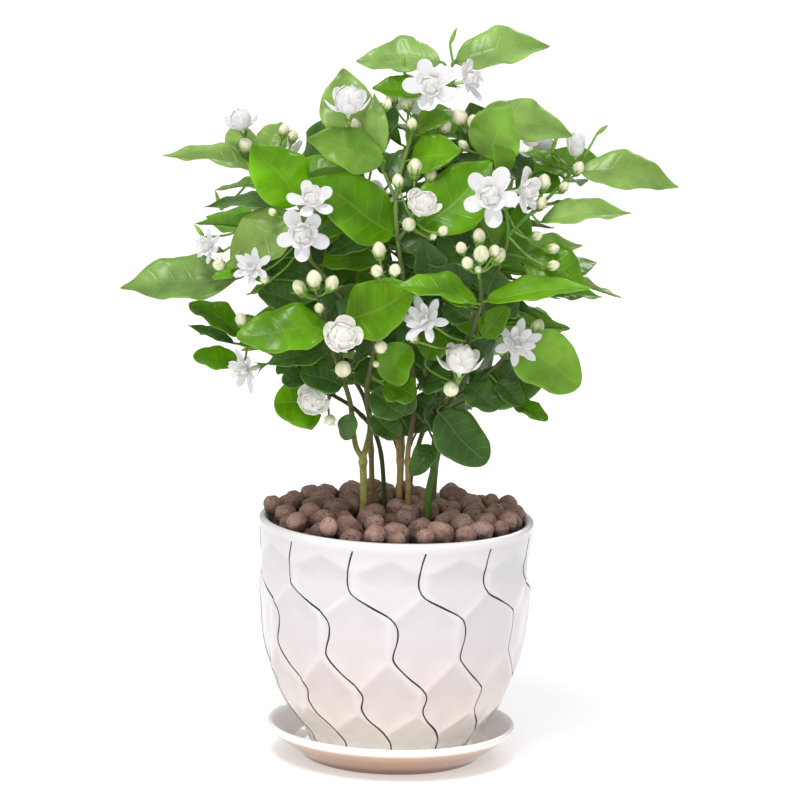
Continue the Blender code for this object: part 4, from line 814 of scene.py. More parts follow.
class Leaf:
    """A pointed oval blade with a folded midrib, an arched back and waved edges, on its petiole."""

    def __init__(self, root, base, tip, width, upper, phase):
        self.root = root
        self.base = base
        self.width = width
        self.phase = phase
        self.length = (tip - base).length
        self.along = (tip - base).normalized()
        self.upper = (upper - self.along * upper.dot(self.along)).normalized()
        self.across = self.along.cross(self.upper)
        self.arch = 0.05 + 0.035 * sin(5 * phase)
        self.fold = 0.20 + 0.10 * sin(3 * phase)
        self.ruffle = 0.055 + 0.02 * sin(7 * phase)

    def point(self, place, side):
        """A point of the blade: place runs from base 0 to tip 1, side from -1 to 1 across it."""
        half = self.width / 2 * leaf_outline(place)
        rise = self.arch * self.length * sin(pi * min(1.0, place * 1.08))
        rise += self.fold * half * abs(side)
        wave = sin(tau * 2.3 * place + self.phase * 4 + side * 1.2)
        rise += self.ruffle * self.width * wave * side * side * leaf_outline(place)
        sway = 0.05 * self.width * sin(pi * place * 1.4 + self.phase * 2)
        along = self.along * (self.length * place)
        return self.base + along + self.across * (half * side + sway * sin(pi * place)) + self.upper * rise

    def petiole_axes(self):
        """Directions across the petiole and up from it, on the same sides as the blade's."""
        run = self.base - self.root
        across = run.cross(self.upper).normalized()
        if across.dot(self.across) < 0:
            across.negate()
        rise = across.cross(run).normalized()
        if rise.dot(self.upper) < 0:
            rise.negate()
        return across, rise

    def blade(self):
        """The blade alone, without its petiole, for finding where it has room."""
        shape = self.solid()
        cut = self.base + self.along * (0.04 * self.length)
        everything = list(shape.verts) + list(shape.edges) + list(shape.faces)
        bmesh.ops.bisect_plane(shape, geom=everything, plane_co=cut, plane_no=self.along, clear_inner=True)
        return shape

    def solid(self):
        """The petiole's two rows, then the blade's rows of edge, midrib and edge, closed at the tip."""
        shape = bmesh.new()
        places = LARGE_LEAF_PLACES if self.width > LARGE_LEAF_WIDTH else SMALL_LEAF_PLACES
        rows = len(places) + 1
        across, rise = self.petiole_axes()
        bmesh.ops.create_grid(shape, x_segments=2, y_segments=rows, size=1.0)
        shifts = {}
        for point in shape.verts:
            row = round((point.co.y + 1) / 2 * rows)
            side = round(point.co.x)
            if row < 2:
                edge = PETIOLE_HALF_WIDTH if side > 0 else -PETIOLE_HALF_WIDTH
                point.co = (self.base if row else self.root) + across * edge
                shift = -rise * PETIOLE_THICKNESS - across * edge
            else:
                point.co = self.point(places[row - 2], side)
                shift = -self.upper * LEAF_THICKNESS
            shifts[point.co.to_tuple(8)] = shift
        bmesh.ops.remove_doubles(shape, verts=shape.verts, dist=MERGE_DISTANCE)
        return thickened(shape, shifts)


class Bloom:
    """A double bloom: rings of petals round a small heart on a slender tube."""

    def __init__(self, centre, facing, diameter, style, phase):
        self.centre = centre
        self.facing = facing.normalized()
        self.diameter = diameter
        self.style = style
        self.phase = phase
        self.side, self.other = frame_along(self.facing)
        self.foot = centre + self.facing * (HEART_RINGS[0][0] * diameter)

    def out(self, number, offset, count):
        """The direction out from the axis to one of a ring's petals, turned by an offset in steps."""
        return direction_at(self.side, self.other, tau * (number + offset + self.phase) / count)

    def petal_axes(self, number, out, opening, length_share):
        """Directions along a petal, across it and into its hollow, with its length and the angle it opens."""
        tilt = radians(opening + 7 * sin(self.phase * 5 + number * 1.9))
        reach = out * sin(tilt) + self.facing * cos(tilt)
        hollow = self.facing * sin(tilt) - out * cos(tilt)
        length = length_share * self.diameter * (1 + 0.06 * sin(self.phase * 9 + number * 2.4))
        return reach, self.facing.cross(out), hollow, length, tilt

    def ring_points(self, height, radius, turn):
        """A ring of the heart: height and radius over the bloom's diameter, turned by a share of a step."""
        count = BLOOM_STYLES[self.style][0]
        middle = self.centre + self.facing * (height * self.diameter)
        return [middle + self.out(number, turn, count) * (radius * self.diameter) for number in range(count)]

    def solid(self):
        """The tube and the heart as one loft, with each petal drawn out of a face of the heart."""
        shape = bmesh.new()
        rings = []
        for height, radius, turn in HEART_RINGS:
            rings.append([shape.verts.new(point) for point in self.ring_points(height, radius, turn)])
        count = len(rings[0])
        petals = []
        for index, (lower, upper) in enumerate(zip(rings, rings[1:])):
            staggered = HEART_RINGS[index][2] != HEART_RINGS[index + 1][2]
            for number in range(count):
                after = (number + 1) % count
                if staggered:
                    shape.faces.new((lower[number], lower[after], upper[number]))
                    shape.faces.new((lower[after], upper[after], upper[number]))
                else:
                    face = shape.faces.new((lower[number], lower[after], upper[after], upper[number]))
                    if index in PETAL_BANDS:
                        petals.append((PETAL_BANDS.index(index), number, face))
        shape.faces.new(list(reversed(rings[0])))
        shape.faces.new(rings[-1])
        outward(shape)
        for ring, number, face in petals:
            self.draw_petal(shape, ring, number, face)
        bmesh.ops.triangulate(shape, faces=shape.faces)
        return outward(shape)

    def draw_petal(self, shape, ring, number, face):
        """Draws a petal out of a face of the heart, wide at its shoulder and narrower at its tip."""
        count, rings = BLOOM_STYLES[self.style]
        opening, length_share, width_share, cup = rings[ring]
        out = self.out(number, 0.5 + ring / 2, count)
        reach, across, hollow, length, _ = self.petal_axes(number, out, opening, length_share)
        root = face.calc_center_median()
        for place, breadth in PETAL_STATIONS[ring]:
            half = length * width_share / 2 * breadth
            lift = cup * length * (place * place - place)
            middle = root + reach * (length * place) + hollow * lift
            made = bmesh.ops.extrude_discrete_faces(shape, faces=[face])
            face = made["faces"][0]
            before = face.calc_center_median()
            for point in face.verts:
                side = 1 if (point.co - before).dot(across) > 0 else -1
                layer = 1 if (point.co - before).dot(self.facing) > 0 else -1
                rim = 0.3 * cup * half + layer * PETAL_THICKNESS / 2
                point.co = middle + across * (half * side) + hollow * rim


def nearest_on_path(points, place):
    """The nearest point of a path to a place."""
    best = None
    for first, second in zip(points, points[1:]):
        run = second - first
        most = 1 - BRANCH_END / run.length if second == points[-1] else 1.0
        share = max(0.0, min(most, (place - first).dot(run) / run.length_squared))
        found = first + run * share
        if best is None or (found - place).length < (best - place).length:
            best = found
    return best


def depth_before(name, pixel, before):
    """Depth (mm) of a pixel's point that stands this far before the branch behind it."""
    points = shoots[name][1]
    depth = points[-1].y / MM
    for _ in range(DEPTH_ROUNDS):
        place = seen_at(pixel, depth)
        depth = nearest_on_path(points, place).y / MM - before
    return depth


def make_shoots():
    """The stems and branches that the photograph shows, as tapering rods."""
    for name, node, root, first_radius, last_radius, course in SHOOTS:
        points = [seen_at(pixel[:2], pixel[2]) for pixel in course]
        if root:
            points = [in_mm(*root, STEM_END), in_mm(*root, STEM_LEAVES_PEBBLES)] + points
        shoots[name] = (node, points)
        shoot_radii[name] = tapered(first_radius, last_radius, len(points))
        keep(tube(points, shoot_radii[name], 1 if root else 0), node, "shoot")


def make_back_shoots():
    """The far side's stems: each rises straight, then arches out in its branches' directions."""
    for node, root, branches in BACK_STEMS:
        fork_x, fork_y = [value * MM * BACK_FORK_SPREAD for value in root]
        fork = Vector((fork_x, fork_y, BACK_FORK_HEIGHT * MM))
        trunk = [in_mm(*root, STEM_END), in_mm(*root, STEM_LEAVES_PEBBLES), fork]
        radii = [radius * MM for radius in BACK_STEM_RADII]
        trunks.append((node, trunk, radii))
        keep(tube(trunk, radii, 1), node, "shoot")
        for number, (direction, reach, top, _) in enumerate(branches):
            name = f"{node}_{number}"
            aim = level_direction(direction) * (reach * MM)
            end = Vector((aim.x, aim.y, top * MM))
            rise_height = BACK_FORK_HEIGHT * MM + (end.z - fork.z) * BACK_RISE_SHARE
            rise = Vector((fork.x * BACK_RISE_SPREAD, fork.y * BACK_RISE_SPREAD, rise_height))
            points = bent(fork, rise, end, BACK_BRANCH_STEPS)
            shoots[name] = (node, points)
            shoot_radii[name] = [radius * MM for radius in BACK_BRANCH_RADII]
            keep(tube(points, shoot_radii[name], 0), node, "shoot")


def grow_leaf(name, base, tip, width, upper, phase, moves):
    """Places a leaf where its solid has one: where it first keeps clear of the rest."""
    node, points = shoots[name]
    for own_kinds in (("shoot", "leaf", "bud", "stalk"), ("leaf",), ()):
        for base_nudge, tip_nudge in moves:
            moved_base = base + in_mm(0, base_nudge, 0)
            moved_tip = tip + in_mm(0, tip_nudge, 0)
            root = nearest_on_path(points, moved_base - in_mm(0, 0, 2))
            leaf = Leaf(root, moved_base, moved_tip, width, upper, phase)
            shape = leaf.solid()
            blade = leaf.blade()
            if is_clear(shape, node) and is_clear(blade, node, own_kinds):
                blade.free()
                keep(shape, node, "leaf")
                return leaf
            shape.free()
            blade.free()
    return None


def grow_seen_leaf(entry, before, lean, phase):
    """Places a leaf of the photograph from its row in a table and how far it stands before its branch."""
    name, base_pixel, tip_pixel, behind, width, turn = entry
    depth = depth_before(name, base_pixel, before)
    base = seen_at(base_pixel, depth)
    tip = seen_at(tip_pixel, depth + behind)
    facing = Vector((lean, -sin(radians(turn)), cos(radians(turn))))
    return grow_leaf(name, base, tip, width * MM, facing, phase, FRONT_LEAF_MOVES)


def grow_front_leaves():
    for number, entry in enumerate(FRONT_LEAVES):
        leaf = grow_seen_leaf(entry, 2, 0.0, number * 0.37)
        if leaf:
            tone = next((tone for tone, numbers in LEAF_TONES.items() if number in numbers), "mid")
            leaves.append((shoots[entry[0]][0], leaf, tone))


def grow_bloom(name, centre, facing, diameter, style, phase):
    """Places a bloom with its stalk and calyx where its solid stands."""
    node, points = shoots[name]
    title = f"bloom_{len(blooms) + 1:02d}"
    for nudge in BLOOM_MOVES:
        moved = centre + in_mm(0, nudge, 0)
        bloom = Bloom(moved, facing, diameter, style, phase)
        solid = bloom.solid()
        calyx_top = bloom.foot - bloom.facing * GAP
        calyx_base = calyx_top - bloom.facing * (CALYX_LENGTH * diameter)
        start = nearest_on_path(points, calyx_base - in_mm(0, 0, 8))
        radii = [0.7 * MM, 0.9 * MM, 0.075 * diameter]
        stalk = spindle([start, calyx_base, calyx_top], radii, 4, bloom.facing)
        crossed = BVHTree.FromBMesh(solid).overlap(BVHTree.FromBMesh(stalk))
        if not crossed and is_clear(solid, title) and is_clear(stalk, node):
            keep(stalk, node, "stalk")
            keep(solid, title, "petal")
            blooms.append((title, node, bloom, start, calyx_base, calyx_top))
            return
        solid.free()
        stalk.free()


def grow_front_blooms():
    for number, (name, pixel, before, diameter, style, facing) in enumerate(FRONT_BLOOMS):
        centre = seen_at(pixel, depth_before(name, pixel, before))
        grow_bloom(name, centre, Vector(facing), diameter * MM, style, number * 0.29)


def grow_bud(name, centre, radius):
    """Places a bud on its stalk where its solid stands."""
    node, points = shoots[name]
    for nudge in BUD_MOVES:
        moved = centre + in_mm(0, nudge, 0)
        start = nearest_on_path(points, moved - in_mm(0, 0, 10))
        lean = (moved - start).normalized() + Vector((0.0, 0.0, 0.7))
        axis = lean.normalized() * (radius * BUD_LENGTH)
        stations = [start, moved - axis, moved + axis * 0.1, moved + axis]
        shape = spindle(stations, [0.8 * MM, 1.0 * MM, radius * BUD_SWELL, radius * 0.3], 3)
        if is_clear(shape, node, ("bud", "leaf") if abs(nudge) < FAR_BUD_MOVE else ()):
            keep(shape, node, "bud")
            buds.append((node, start, moved, axis, radius))
            return
        shape.free()


def grow_buds_and_tips(bud_rows, tip_rows):
    for name, pixel, radius, before in bud_rows:
        grow_bud(name, seen_at(pixel, depth_before(name, pixel, before)), radius * PIXEL_SIZE)
    for name, lower_pixel, upper_pixel in tip_rows:
        grow_tip(name, lower_pixel, upper_pixel)


def grow_tip(name, lower_pixel, upper_pixel):
    """Places a young folded tip where its solid stands."""
    node, points = shoots[name]
    depth = depth_before(name, lower_pixel, 0)
    lower = seen_at(lower_pixel, depth)
    upper = seen_at(upper_pixel, depth)
    start = nearest_on_path(points, lower)
    stations = [start, lower, lower.lerp(upper, 0.4), upper]
    shape = spindle(stations, [0.8 * MM, 0.8 * MM, 1.8 * MM, 0.5 * MM], 3)
    if is_clear(shape, node):
        keep(shape, node, "bud")
        tips.append((node, start, lower, upper))


def grow_far_side():
    """Opposite pairs of leaves, blooms and buds on the stems that the photograph doesn't show."""
    draw = Random(5)
    for node, _, branches in BACK_STEMS:
        for number, (direction, _, _, end) in enumerate(branches):
            name = f"{node}_{number}"
            points = shoots[name][1]
            away = level_direction(direction)
            side = Vector((-away.y, away.x, 0.0))
            if end == "bloom":
                centre = points[-1] + away * (14 * MM) + in_mm(0, 0, 12)
                facing = away + Vector((0, 0, 0.5))
                grow_bloom(name, centre, facing, BACK_BLOOM_DIAMETER, "open", number * 0.31)
            if end in ("bloom", "buds"):
                grow_bud(name, points[-1] + side * (11 * MM) + in_mm(0, 0, 14), BACK_BUD_RADIUS)
            for place in BACK_PAIR_PLACES:
                index = min(BACK_BRANCH_STEPS - 1, int(place * BACK_BRANCH_STEPS))
                start = points[index].lerp(points[index + 1], place * BACK_BRANCH_STEPS - index)
                for turn in (-1, 1):
                    length = draw.uniform(*BACK_LEAF_LENGTH) * MM
                    spread = draw.uniform(0.7, 1.1) if place < 0.9 else draw.uniform(0.5, 0.8)
                    climb = Vector((0, 0, draw.uniform(-0.25, 0.3)))
                    heading = (away + side * (turn * spread) + climb).normalized()
                    base = start + heading * (7 * MM)
                    tip = base + heading * length
                    tilt = radians(draw.uniform(28, 60))
                    facing = away * sin(tilt) + Vector((0, 0, cos(tilt)))
                    width = length * draw.uniform(0.5, 0.6)
                    phase = draw.uniform(0, 6)
                    leaf = grow_leaf(name, base, tip, width, facing, phase, BACK_LEAF_MOVES)
                    if leaf:
                        leaves.append((node, leaf, ("mid", "bright", "pale")[len(leaves) % 3]))


def inside_outline(pixel):
    """Whether a pixel lies in the crown's dense part."""
    inside = False
    for (x, y), (next_x, next_y) in zip(CROWN_OUTLINE, CROWN_OUTLINE[1:] + CROWN_OUTLINE[:1]):
        if (y > pixel[1]) != (next_y > pixel[1]):
            if pixel[0] < x + (pixel[1] - y) * (next_x - x) / (next_y - y):
                inside = not inside
    return inside


def pixel_of(point):
    right, up, forward = sight_axes()
    run = point - EYE
    scale = FOCAL_PIXELS / run.dot(forward)
    return MIDDLE_PIXEL + run.dot(right) * scale, MIDDLE_PIXEL - run.dot(up) * scale


def nearest_seen(node, pixel):
    """The point on a node's stems that shows nearest to a pixel."""
    best = None
    for owner, points in shoots.values():
        if owner == node:
            for first, second in zip(points, points[1:]):
                for step in range(12):
                    point = first.lerp(second, step / 12)
                    seen = pixel_of(point)
                    away = hypot(seen[0] - pixel[0], seen[1] - pixel[1])
                    if best is None or away < best[0]:
                        best = (away, point)
    return best[1]


def grow_inner_leaves():
    """The inner leaves that the solids leave out."""
    for number, entry in enumerate(INNER_LEAVES):
        leaf = grow_seen_leaf(entry, -3, 0.1 * sin(number), 0.7 * number)
        if leaf:
            # Inner leaves all take the dark tint: painted shade inside the crown
            fillers.append((shoots[entry[0]][0], leaf, "dark"))


def hides_others(leaf):
    """Whether a leaf stands before one of the photograph's leaves, blooms or buds, as the viewer sees it."""
    for place in (0.1, 0.35, 0.6, 0.85):
        for side in (-0.7, 0, 0.7):
            point = leaf.point(place, side)
            sight = (point - EYE).normalized()
            if any(tree.ray_cast(point + sight * MM, sight)[0] for tree in seen_front):
                return True
    return False


def grow_fillers():
    """The crown's inner leaves, darker and smaller, wherever they fit in it and in the solids' box."""
    draw = Random(23)
    margin = in_mm(2, 2, 2)
    low = Vector(CAD_BOX[0]) + margin
    high = Vector(CAD_BOX[1]) - margin
    for node, kind, tree, _, _ in taken:
        if kind != "shoot" and not node.startswith("stem_back"):
            seen_front.append(tree)
    for node, points in shoots.values():
        run = sum((second - first).length for first, second in zip(points, points[1:]))
        for _ in range(round(run / FILLER_SPACING)):
            index = draw.randrange(len(points) - 1)
            start = points[index].lerp(points[index + 1], draw.uniform(0, 0.95))
            angle = draw.uniform(0, tau)
            length = draw.uniform(*FILLER_LENGTH)
            heading = Vector((cos(angle), sin(angle), draw.uniform(-0.5, 0.6))).normalized()
            width = length * draw.uniform(*FILLER_BREADTH)
            tilt = draw.uniform(-0.5, 0.5)
            phase = draw.uniform(0, 6)
            base = start + heading * FILLER_PETIOLE
            tip = base + heading * length
            if start.z < FILLER_LOWEST or not inside_outline(pixel_of(tip)):
                continue
            if any(tip[axis] < low[axis] or tip[axis] > high[axis] for axis in range(3)):
                continue
            facing = Vector((0.4 * heading.x, -0.8 if start.y < 0 else 0.5, 0.9)) + heading.cross(UP) * tilt
            deep = (start + tip).y / 2 > points[-1].y + FILLER_DEEP
            add_filler(node, Leaf(start, base, tip, width, facing, phase), deep)
    fill_hollow(draw)


def add_filler(node, leaf, deep):
    """Keeps an inner leaf where it hides nothing and touches nothing but its own node's stems."""
    if hides_others(leaf):
        return
    shape = leaf.solid()
    if is_clear(shape, node, ("leaf", "bud", "stalk", "filler")):
        keep(shape, node, "filler")
        # Deep leaves take the dark tint as painted shade, the others take dark and mid in turn
        fillers.append((node, leaf, "dark" if deep else ("dark", "mid")[len(fillers) % 2]))
    else:
        shape.free()


def fill_hollow(draw):
    """Leaves for the middle of the crown, each on a stalk from the stem that comes nearest."""
    low, high = HOLLOW_BOX
    for _ in range(HOLLOW_TRIES):
        middle = Vector([draw.uniform(low[axis], high[axis]) for axis in range(3)])
        length = draw.uniform(*FILLER_LENGTH)
        width = length * draw.uniform(*HOLLOW_BREADTH)
        phase = draw.uniform(0, 6)
        below = middle - in_mm(0, 0, 20)
        starts = [(nearest_on_path(points, below), node) for node, points in shoots.values()]
        start, node = min(starts, key=lambda pair: (pair[0] - below).length)
        heading = (middle - start).normalized()
        stalk = (middle - start).length - length / 2
        base = start + heading * max(FILLER_PETIOLE, stalk)
        tip = base + heading * length
        if stalk > HOLLOW_STALK or not inside_outline(pixel_of(tip)):
            continue
        facing = Vector((0.5 * heading.x, draw.uniform(-0.6, 0.6), 1.0))
        add_filler(node, Leaf(start, base, tip, width, facing, phase), False)


def smooth_path(points, steps):
    """A smooth curve through points of any size, as a list of vectors."""
    points = [Vector(point) for point in points]
    ends = [points[0] * 2 - points[1]] + points + [points[-1] * 2 - points[-2]]
    result = []
    for before, first, second, after in zip(ends, ends[1:], ends[2:], ends[3:]):
        for step in range(steps):
            t = step / steps
            square = 2 * before - 5 * first + 4 * second - after
            cube = 3 * first - before - 3 * second + after
            result.append(0.5 * (2 * first + (second - before) * t + square * t * t + cube * t ** 3))
    return result + [points[-1]]


def rounded(points, reach, steps):
    """Rounds a section's corners, each over this reach or nearly half of its shorter side."""
    points = [Vector(point) for point in points]
    result = [points[0]]
    for before, corner, after in zip(points, points[1:], points[2:]):
        backwards = before - corner
        onwards = after - corner
        room = min(reach, 0.45 * backwards.length, 0.45 * onwards.length)
        start = corner + backwards.normalized() * room
        end = corner + onwards.normalized() * room
        result += bent(start, corner, end, steps)
    return result + [points[-1]]


def smoothstep(value, low, high):
    share = max(0.0, min(1.0, (value - low) / (high - low)))
    return share * share * (3 - 2 * share)


def mixed(first, second, share):
    return tuple(a * (1 - share) + b * share for a, b in zip(first, second))


def shaded(tint, share):
    return [value * share for value in tint]


class Surface:
    """Collects a piece's points with their tints and places on it, and its faces with their slots."""

    def __init__(self):
        self.points = []
        self.tints = []
        self.places = []
        self.faces = []
        self.slots = []

    def add(self, point, tint=WHITE, place=(0.0, 0.0)):
        self.points.append(tuple(point))
        self.tints.append((*tint, 1.0))
        self.places.append(place)
        return len(self.points) - 1

    def face(self, corners, slot=0):
        self.faces.append(tuple(corners))
        self.slots.append(slot)

    def grid(self, rows, slot=0, closed=False):
        """Quads between rows of point numbers; a closed grid joins each row's end to its start."""
        for lower, upper in zip(rows, rows[1:]):
            count = len(lower)
            for here in range(count if closed else count - 1):
                after = (here + 1) % count
                self.face((lower[here], lower[after], upper[after], upper[here]), slot)

    def sheet(self, places, columns, point_at, foot=0.0):
        """A sheet with rows at places along it; point_at gives a point and its tint at a place and a side.

        Sides run from -1 to 1, and the first row counts as lying at the foot share of the sheet's length.
        """
        rows = []
        for place in places:
            row = []
            for column in range(columns + 1):
                point, tint = point_at(place, 2 * column / columns - 1)
                row.append(self.add(point, tint, (column / columns, foot + (1 - foot) * place)))
            rows.append(row)
        self.grid(rows)

    def closed(self, rows, slot=0):
        """Quads round closed rows of point numbers, with a face over either end."""
        self.grid(rows, slot, closed=True)
        self.face(reversed(rows[0]), slot)
        self.face(rows[-1], slot)

    def piece(self, name, materials, material_slot, nodes):
        """The finished object, which rides with the plant and stands for its solids."""
        mesh = bpy.data.meshes.new(name)
        mesh.from_pydata(self.points, [], self.faces)
        tint = mesh.color_attributes.new("tint", "FLOAT_COLOR", "POINT")
        tint.data.foreach_set("color", [value for colour in self.tints for value in colour])
        layer = mesh.uv_layers.new(name="UVMap")
        corners = [0] * len(mesh.loops)
        mesh.loops.foreach_get("vertex_index", corners)
        layer.data.foreach_set("uv", [value for corner in corners for value in self.places[corner]])
        for material in materials:
            mesh.materials.append(material)
        mesh.polygons.foreach_set("material_index", self.slots)
        mesh.shade_smooth()
        mesh.update()
        result = linked(bpy.data.objects.new(name, mesh))
        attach(result, "root")
        if nodes:
            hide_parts(*nodes)
        return result


def draw_tube(surface, path, radii, sides, tints):
    """A round rod along a path, closed at both ends, with one tint or one for each of the path's points."""
    rows = []
    side = None
    for index, (point, radius) in enumerate(zip(path, radii)):
        onwards = (path[min(index + 1, len(path) - 1)] - path[max(index - 1, 0)]).normalized()
        if side is None:
            side, _ = frame_along(onwards)
        side = (side - onwards * side.dot(onwards)).normalized()
        other = onwards.cross(side)
        row = []
        for corner in range(sides):
            spot = point + direction_at(side, other, tau * corner / sides) * radius
            place = (corner / sides, index / (len(path) - 1))
            row.append(surface.add(spot, tints[index % len(tints)], place))
        rows.append(row)
    surface.closed(rows)


def fine_outline(place, bluntness):
    """Half a leaf's width from 0 to 1, with a drawn-out point or a blunt one."""
    pointed = leaf_outline(place) * (1 - 0.45 * smoothstep(place, 0.72, 1.0))
    oval = max(0.0, 1 - ((place - 0.45) / 0.55) ** 2) ** 0.5
    blunt = leaf_outline(place) + (oval - leaf_outline(place)) * 0.8 * smoothstep(place, 0.5, 0.85)
    return pointed + (blunt - pointed) * bluntness


def fine_leaf_point(leaf, place, side):
    """A point of the fine blade: the solid's form with the pucker between its veins and finer waves."""
    point = leaf.point(place, side)
    half = leaf.width / 2
    bluntness = smoothstep(leaf.width / leaf.length, *BLUNT_BREADTHS)
    bluntness *= 1 - (1 - BLUNT_HIGH_SHARE) * smoothstep(leaf.base.z, *BLUNT_HEIGHTS)
    point -= leaf.across * (half * (leaf_outline(place) - fine_outline(place, bluntness)) * side)
    vein = (place * VEINS - abs(side) * VEIN_SLANT + (0.5 if side > 0 else 0.0)) % 1.0
    pucker = 0.5 - 0.5 * cos(tau * vein)
    reach = abs(side) * (1 - abs(side)) * 4 * leaf_outline(place)
    edge = sin(tau * EDGE_WAVES * place + leaf.phase * 9 + side) * abs(side) ** 3 * leaf_outline(place)
    return point + leaf.upper * (pucker * reach * LEAF_PUCKER + edge * EDGE_WAVE_HEIGHT * leaf.width)


def draw_leaf(blades, wood, leaf, tone, draw, rows, columns):
    """A blade as a fine sheet, with its petiole and the midrib that stands out under it."""
    lightness = draw.uniform(0.88, 1.12)
    tint = [value * lightness * draw.uniform(0.96, 1.04) for value in LEAF_TINTS[tone]]

    def point_at(place, side):
        lively = 0.93 + 0.16 * side * side + 0.12 * sin(leaf.phase * 7 + place * 5 + side * 2)
        return fine_leaf_point(leaf, max(0.001, min(0.9985, place)), side), shaded(tint, lively)

    places = [row / rows for row in range(rows + 1)]
    places = [place + LEAF_ROW_CROWDING * place * (1 - place) for place in places]
    blades.sheet(places, columns, point_at)
    stalk_tint = mixed(LEAF_TINTS["bright"], tint, 0.5)
    bend = leaf.base - leaf.along * (0.35 * (leaf.base - leaf.root).length)
    path = bent(leaf.root, bend, leaf.base, PETIOLE_STEPS)[:-1]
    for step in range(RIB_STEPS + 1):
        path.append(leaf.point(0.02 + 0.9 * step / RIB_STEPS, 0) - leaf.upper * RIB_DROP)
    radii = [PETIOLE_RADIUS * MM] * PETIOLE_STEPS + tapered(*RIB_RADII, RIB_STEPS + 1)
    draw_tube(wood, path, radii, 6, [stalk_tint])


def stem_tint(node, height):
    lower, upper = STEM_TINTS[node]
    low, full, waning, high = BARK_PAINTED_SHADOW_HEIGHTS
    # Painted shadow of the crown: the bark's tint goes dark between these heights
    shade = BARK_PAINTED_SHADOW * smoothstep(height, low, full) * (1 - smoothstep(height, waning, high))
    return mixed(mixed(lower, upper, smoothstep(height, 0.23, 0.33)), BARK_PAINTED_SHADOW_TINT, shade)


def draw_shoot(wood, node, points, radii):
    """A stem or branch with slight joints where its leaf pairs stood."""
    path = smooth_path(points, SHOOT_STEPS)
    fine_radii = []
    travelled = 0.0
    for index, point in enumerate(path):
        place = min(index / SHOOT_STEPS, len(radii) - 1.0)
        first = min(int(place), len(radii) - 2)
        radius = radii[first] + (radii[first + 1] - radii[first]) * (place - first)
        if index:
            travelled += (point - path[index - 1]).length
        joint = max(0.0, cos(tau * travelled / JOINT_SPACING)) ** JOINT_SHARPNESS
        fine_radii.append(radius * (1 + JOINT_SWELLING * joint))
    draw_tube(wood, path, fine_radii, SHOOT_SIDES, [stem_tint(node, point.z) for point in path])


def draw_egg(surface, centre, axis, radius, turn, tints, slot=0):
    """An egg of three petals folded round each other, with faint grooves where one ends on the next, darkened
    by painted shade.
    """
    side, other = frame_along(axis.normalized())
    rows = []
    for step in range(EGG_ROWS + 1):
        t = step / EGG_ROWS
        swell = sin(pi * (0.04 + 0.93 * t)) ** 0.62
        row = []
        for corner in range(EGG_CORNERS):
            angle = tau * corner / EGG_CORNERS
            groove = (0.5 + 0.5 * cos(3 * (angle + turn) + 5.5 * t)) ** 5 * smoothstep(t, 0.15, 0.5)
            reach = radius * swell * (1 - GROOVE_DEPTH * groove)
            spot = centre + axis * (2 * t - 1) + direction_at(side, other, angle) * reach
            # Painted shade in the grooves between the petals
            tint = shaded(mixed(*tints, smoothstep(t, 0.02, 0.55)), 1 - GROOVE_PAINTED_SHADE * groove)
            row.append(surface.add(spot, tint, (corner / EGG_CORNERS, t)))
        rows.append(row)
    surface.closed(rows, slot)


def draw_bud(surface, centre, axis, radius, draw):
    """A plump bud: cream, greener at its foot."""
    turn = draw.uniform(0, tau)
    shade = draw.uniform(0.92, 1.04)
    green = draw.uniform(0.0, 0.25)
    top = shaded(mixed(BUD_CREAM, BUD_GREEN, green), shade)
    draw_egg(surface, centre, axis * 0.86, radius * 0.96, turn, (BUD_GREEN, top), 1)


def draw_calyx(surface, base, top, radius, lobes, reach, draw):
    """A small green cup with thin pointed lobes."""
    axis = (top - base).normalized()
    side, other = frame_along(axis)
    path = [base, base.lerp(top, 0.5), top]
    draw_tube(surface, path, [0.9 * MM, radius * 0.85, radius], 10, [CALYX_TINT])
    turn = draw.uniform(0, tau)
    for number in range(lobes):
        out = direction_at(side, other, turn + tau * number / lobes)
        tangent = axis.cross(out)
        flare = draw.uniform(0.25, 0.8)
        start = top + out * (radius * 0.95) - axis * (0.5 * MM)
        points = []
        for step in range(4):
            t = step / 3
            spread = out * (reach * flare * t * t)
            points.append(start + axis * (reach * t) + spread + tangent * (0.1 * reach * t))
        draw_tube(surface, points, [lobe_radius * MM for lobe_radius in LOBE_RADII], 5, [CALYX_TINT])


def draw_stalk(surface, start, end, first_radius, last_radius):
    """A slender stalk that bows a little, with its first and last radius in mm."""
    middle = start.lerp(end, 0.5) + Vector((0, 0, -0.08)) * (end - start).length
    path = smooth_path([start, middle, end], 4)
    draw_tube(surface, path, tapered(first_radius, last_radius, len(path)), 7, [CALYX_TINT])


def petal_width(place, pointed):
    """Half a petal's width from 0 to 1: narrow at its foot, full at two thirds, then round or pointed."""
    if place < PETAL_WIDEST:
        return 0.32 + 0.68 * sin(pi / 2 * place / PETAL_WIDEST)
    left = (place - PETAL_WIDEST) / (1 - PETAL_WIDEST)
    return max(0.0, 1 - left ** (2.0 if pointed else 2.3)) ** (0.7 if pointed else 0.52)


def bloom_seat(bloom):
    """Where the petals join on the tube."""
    return bloom.centre - bloom.facing * (BLOOM_DROPS[bloom.style] * bloom.diameter)


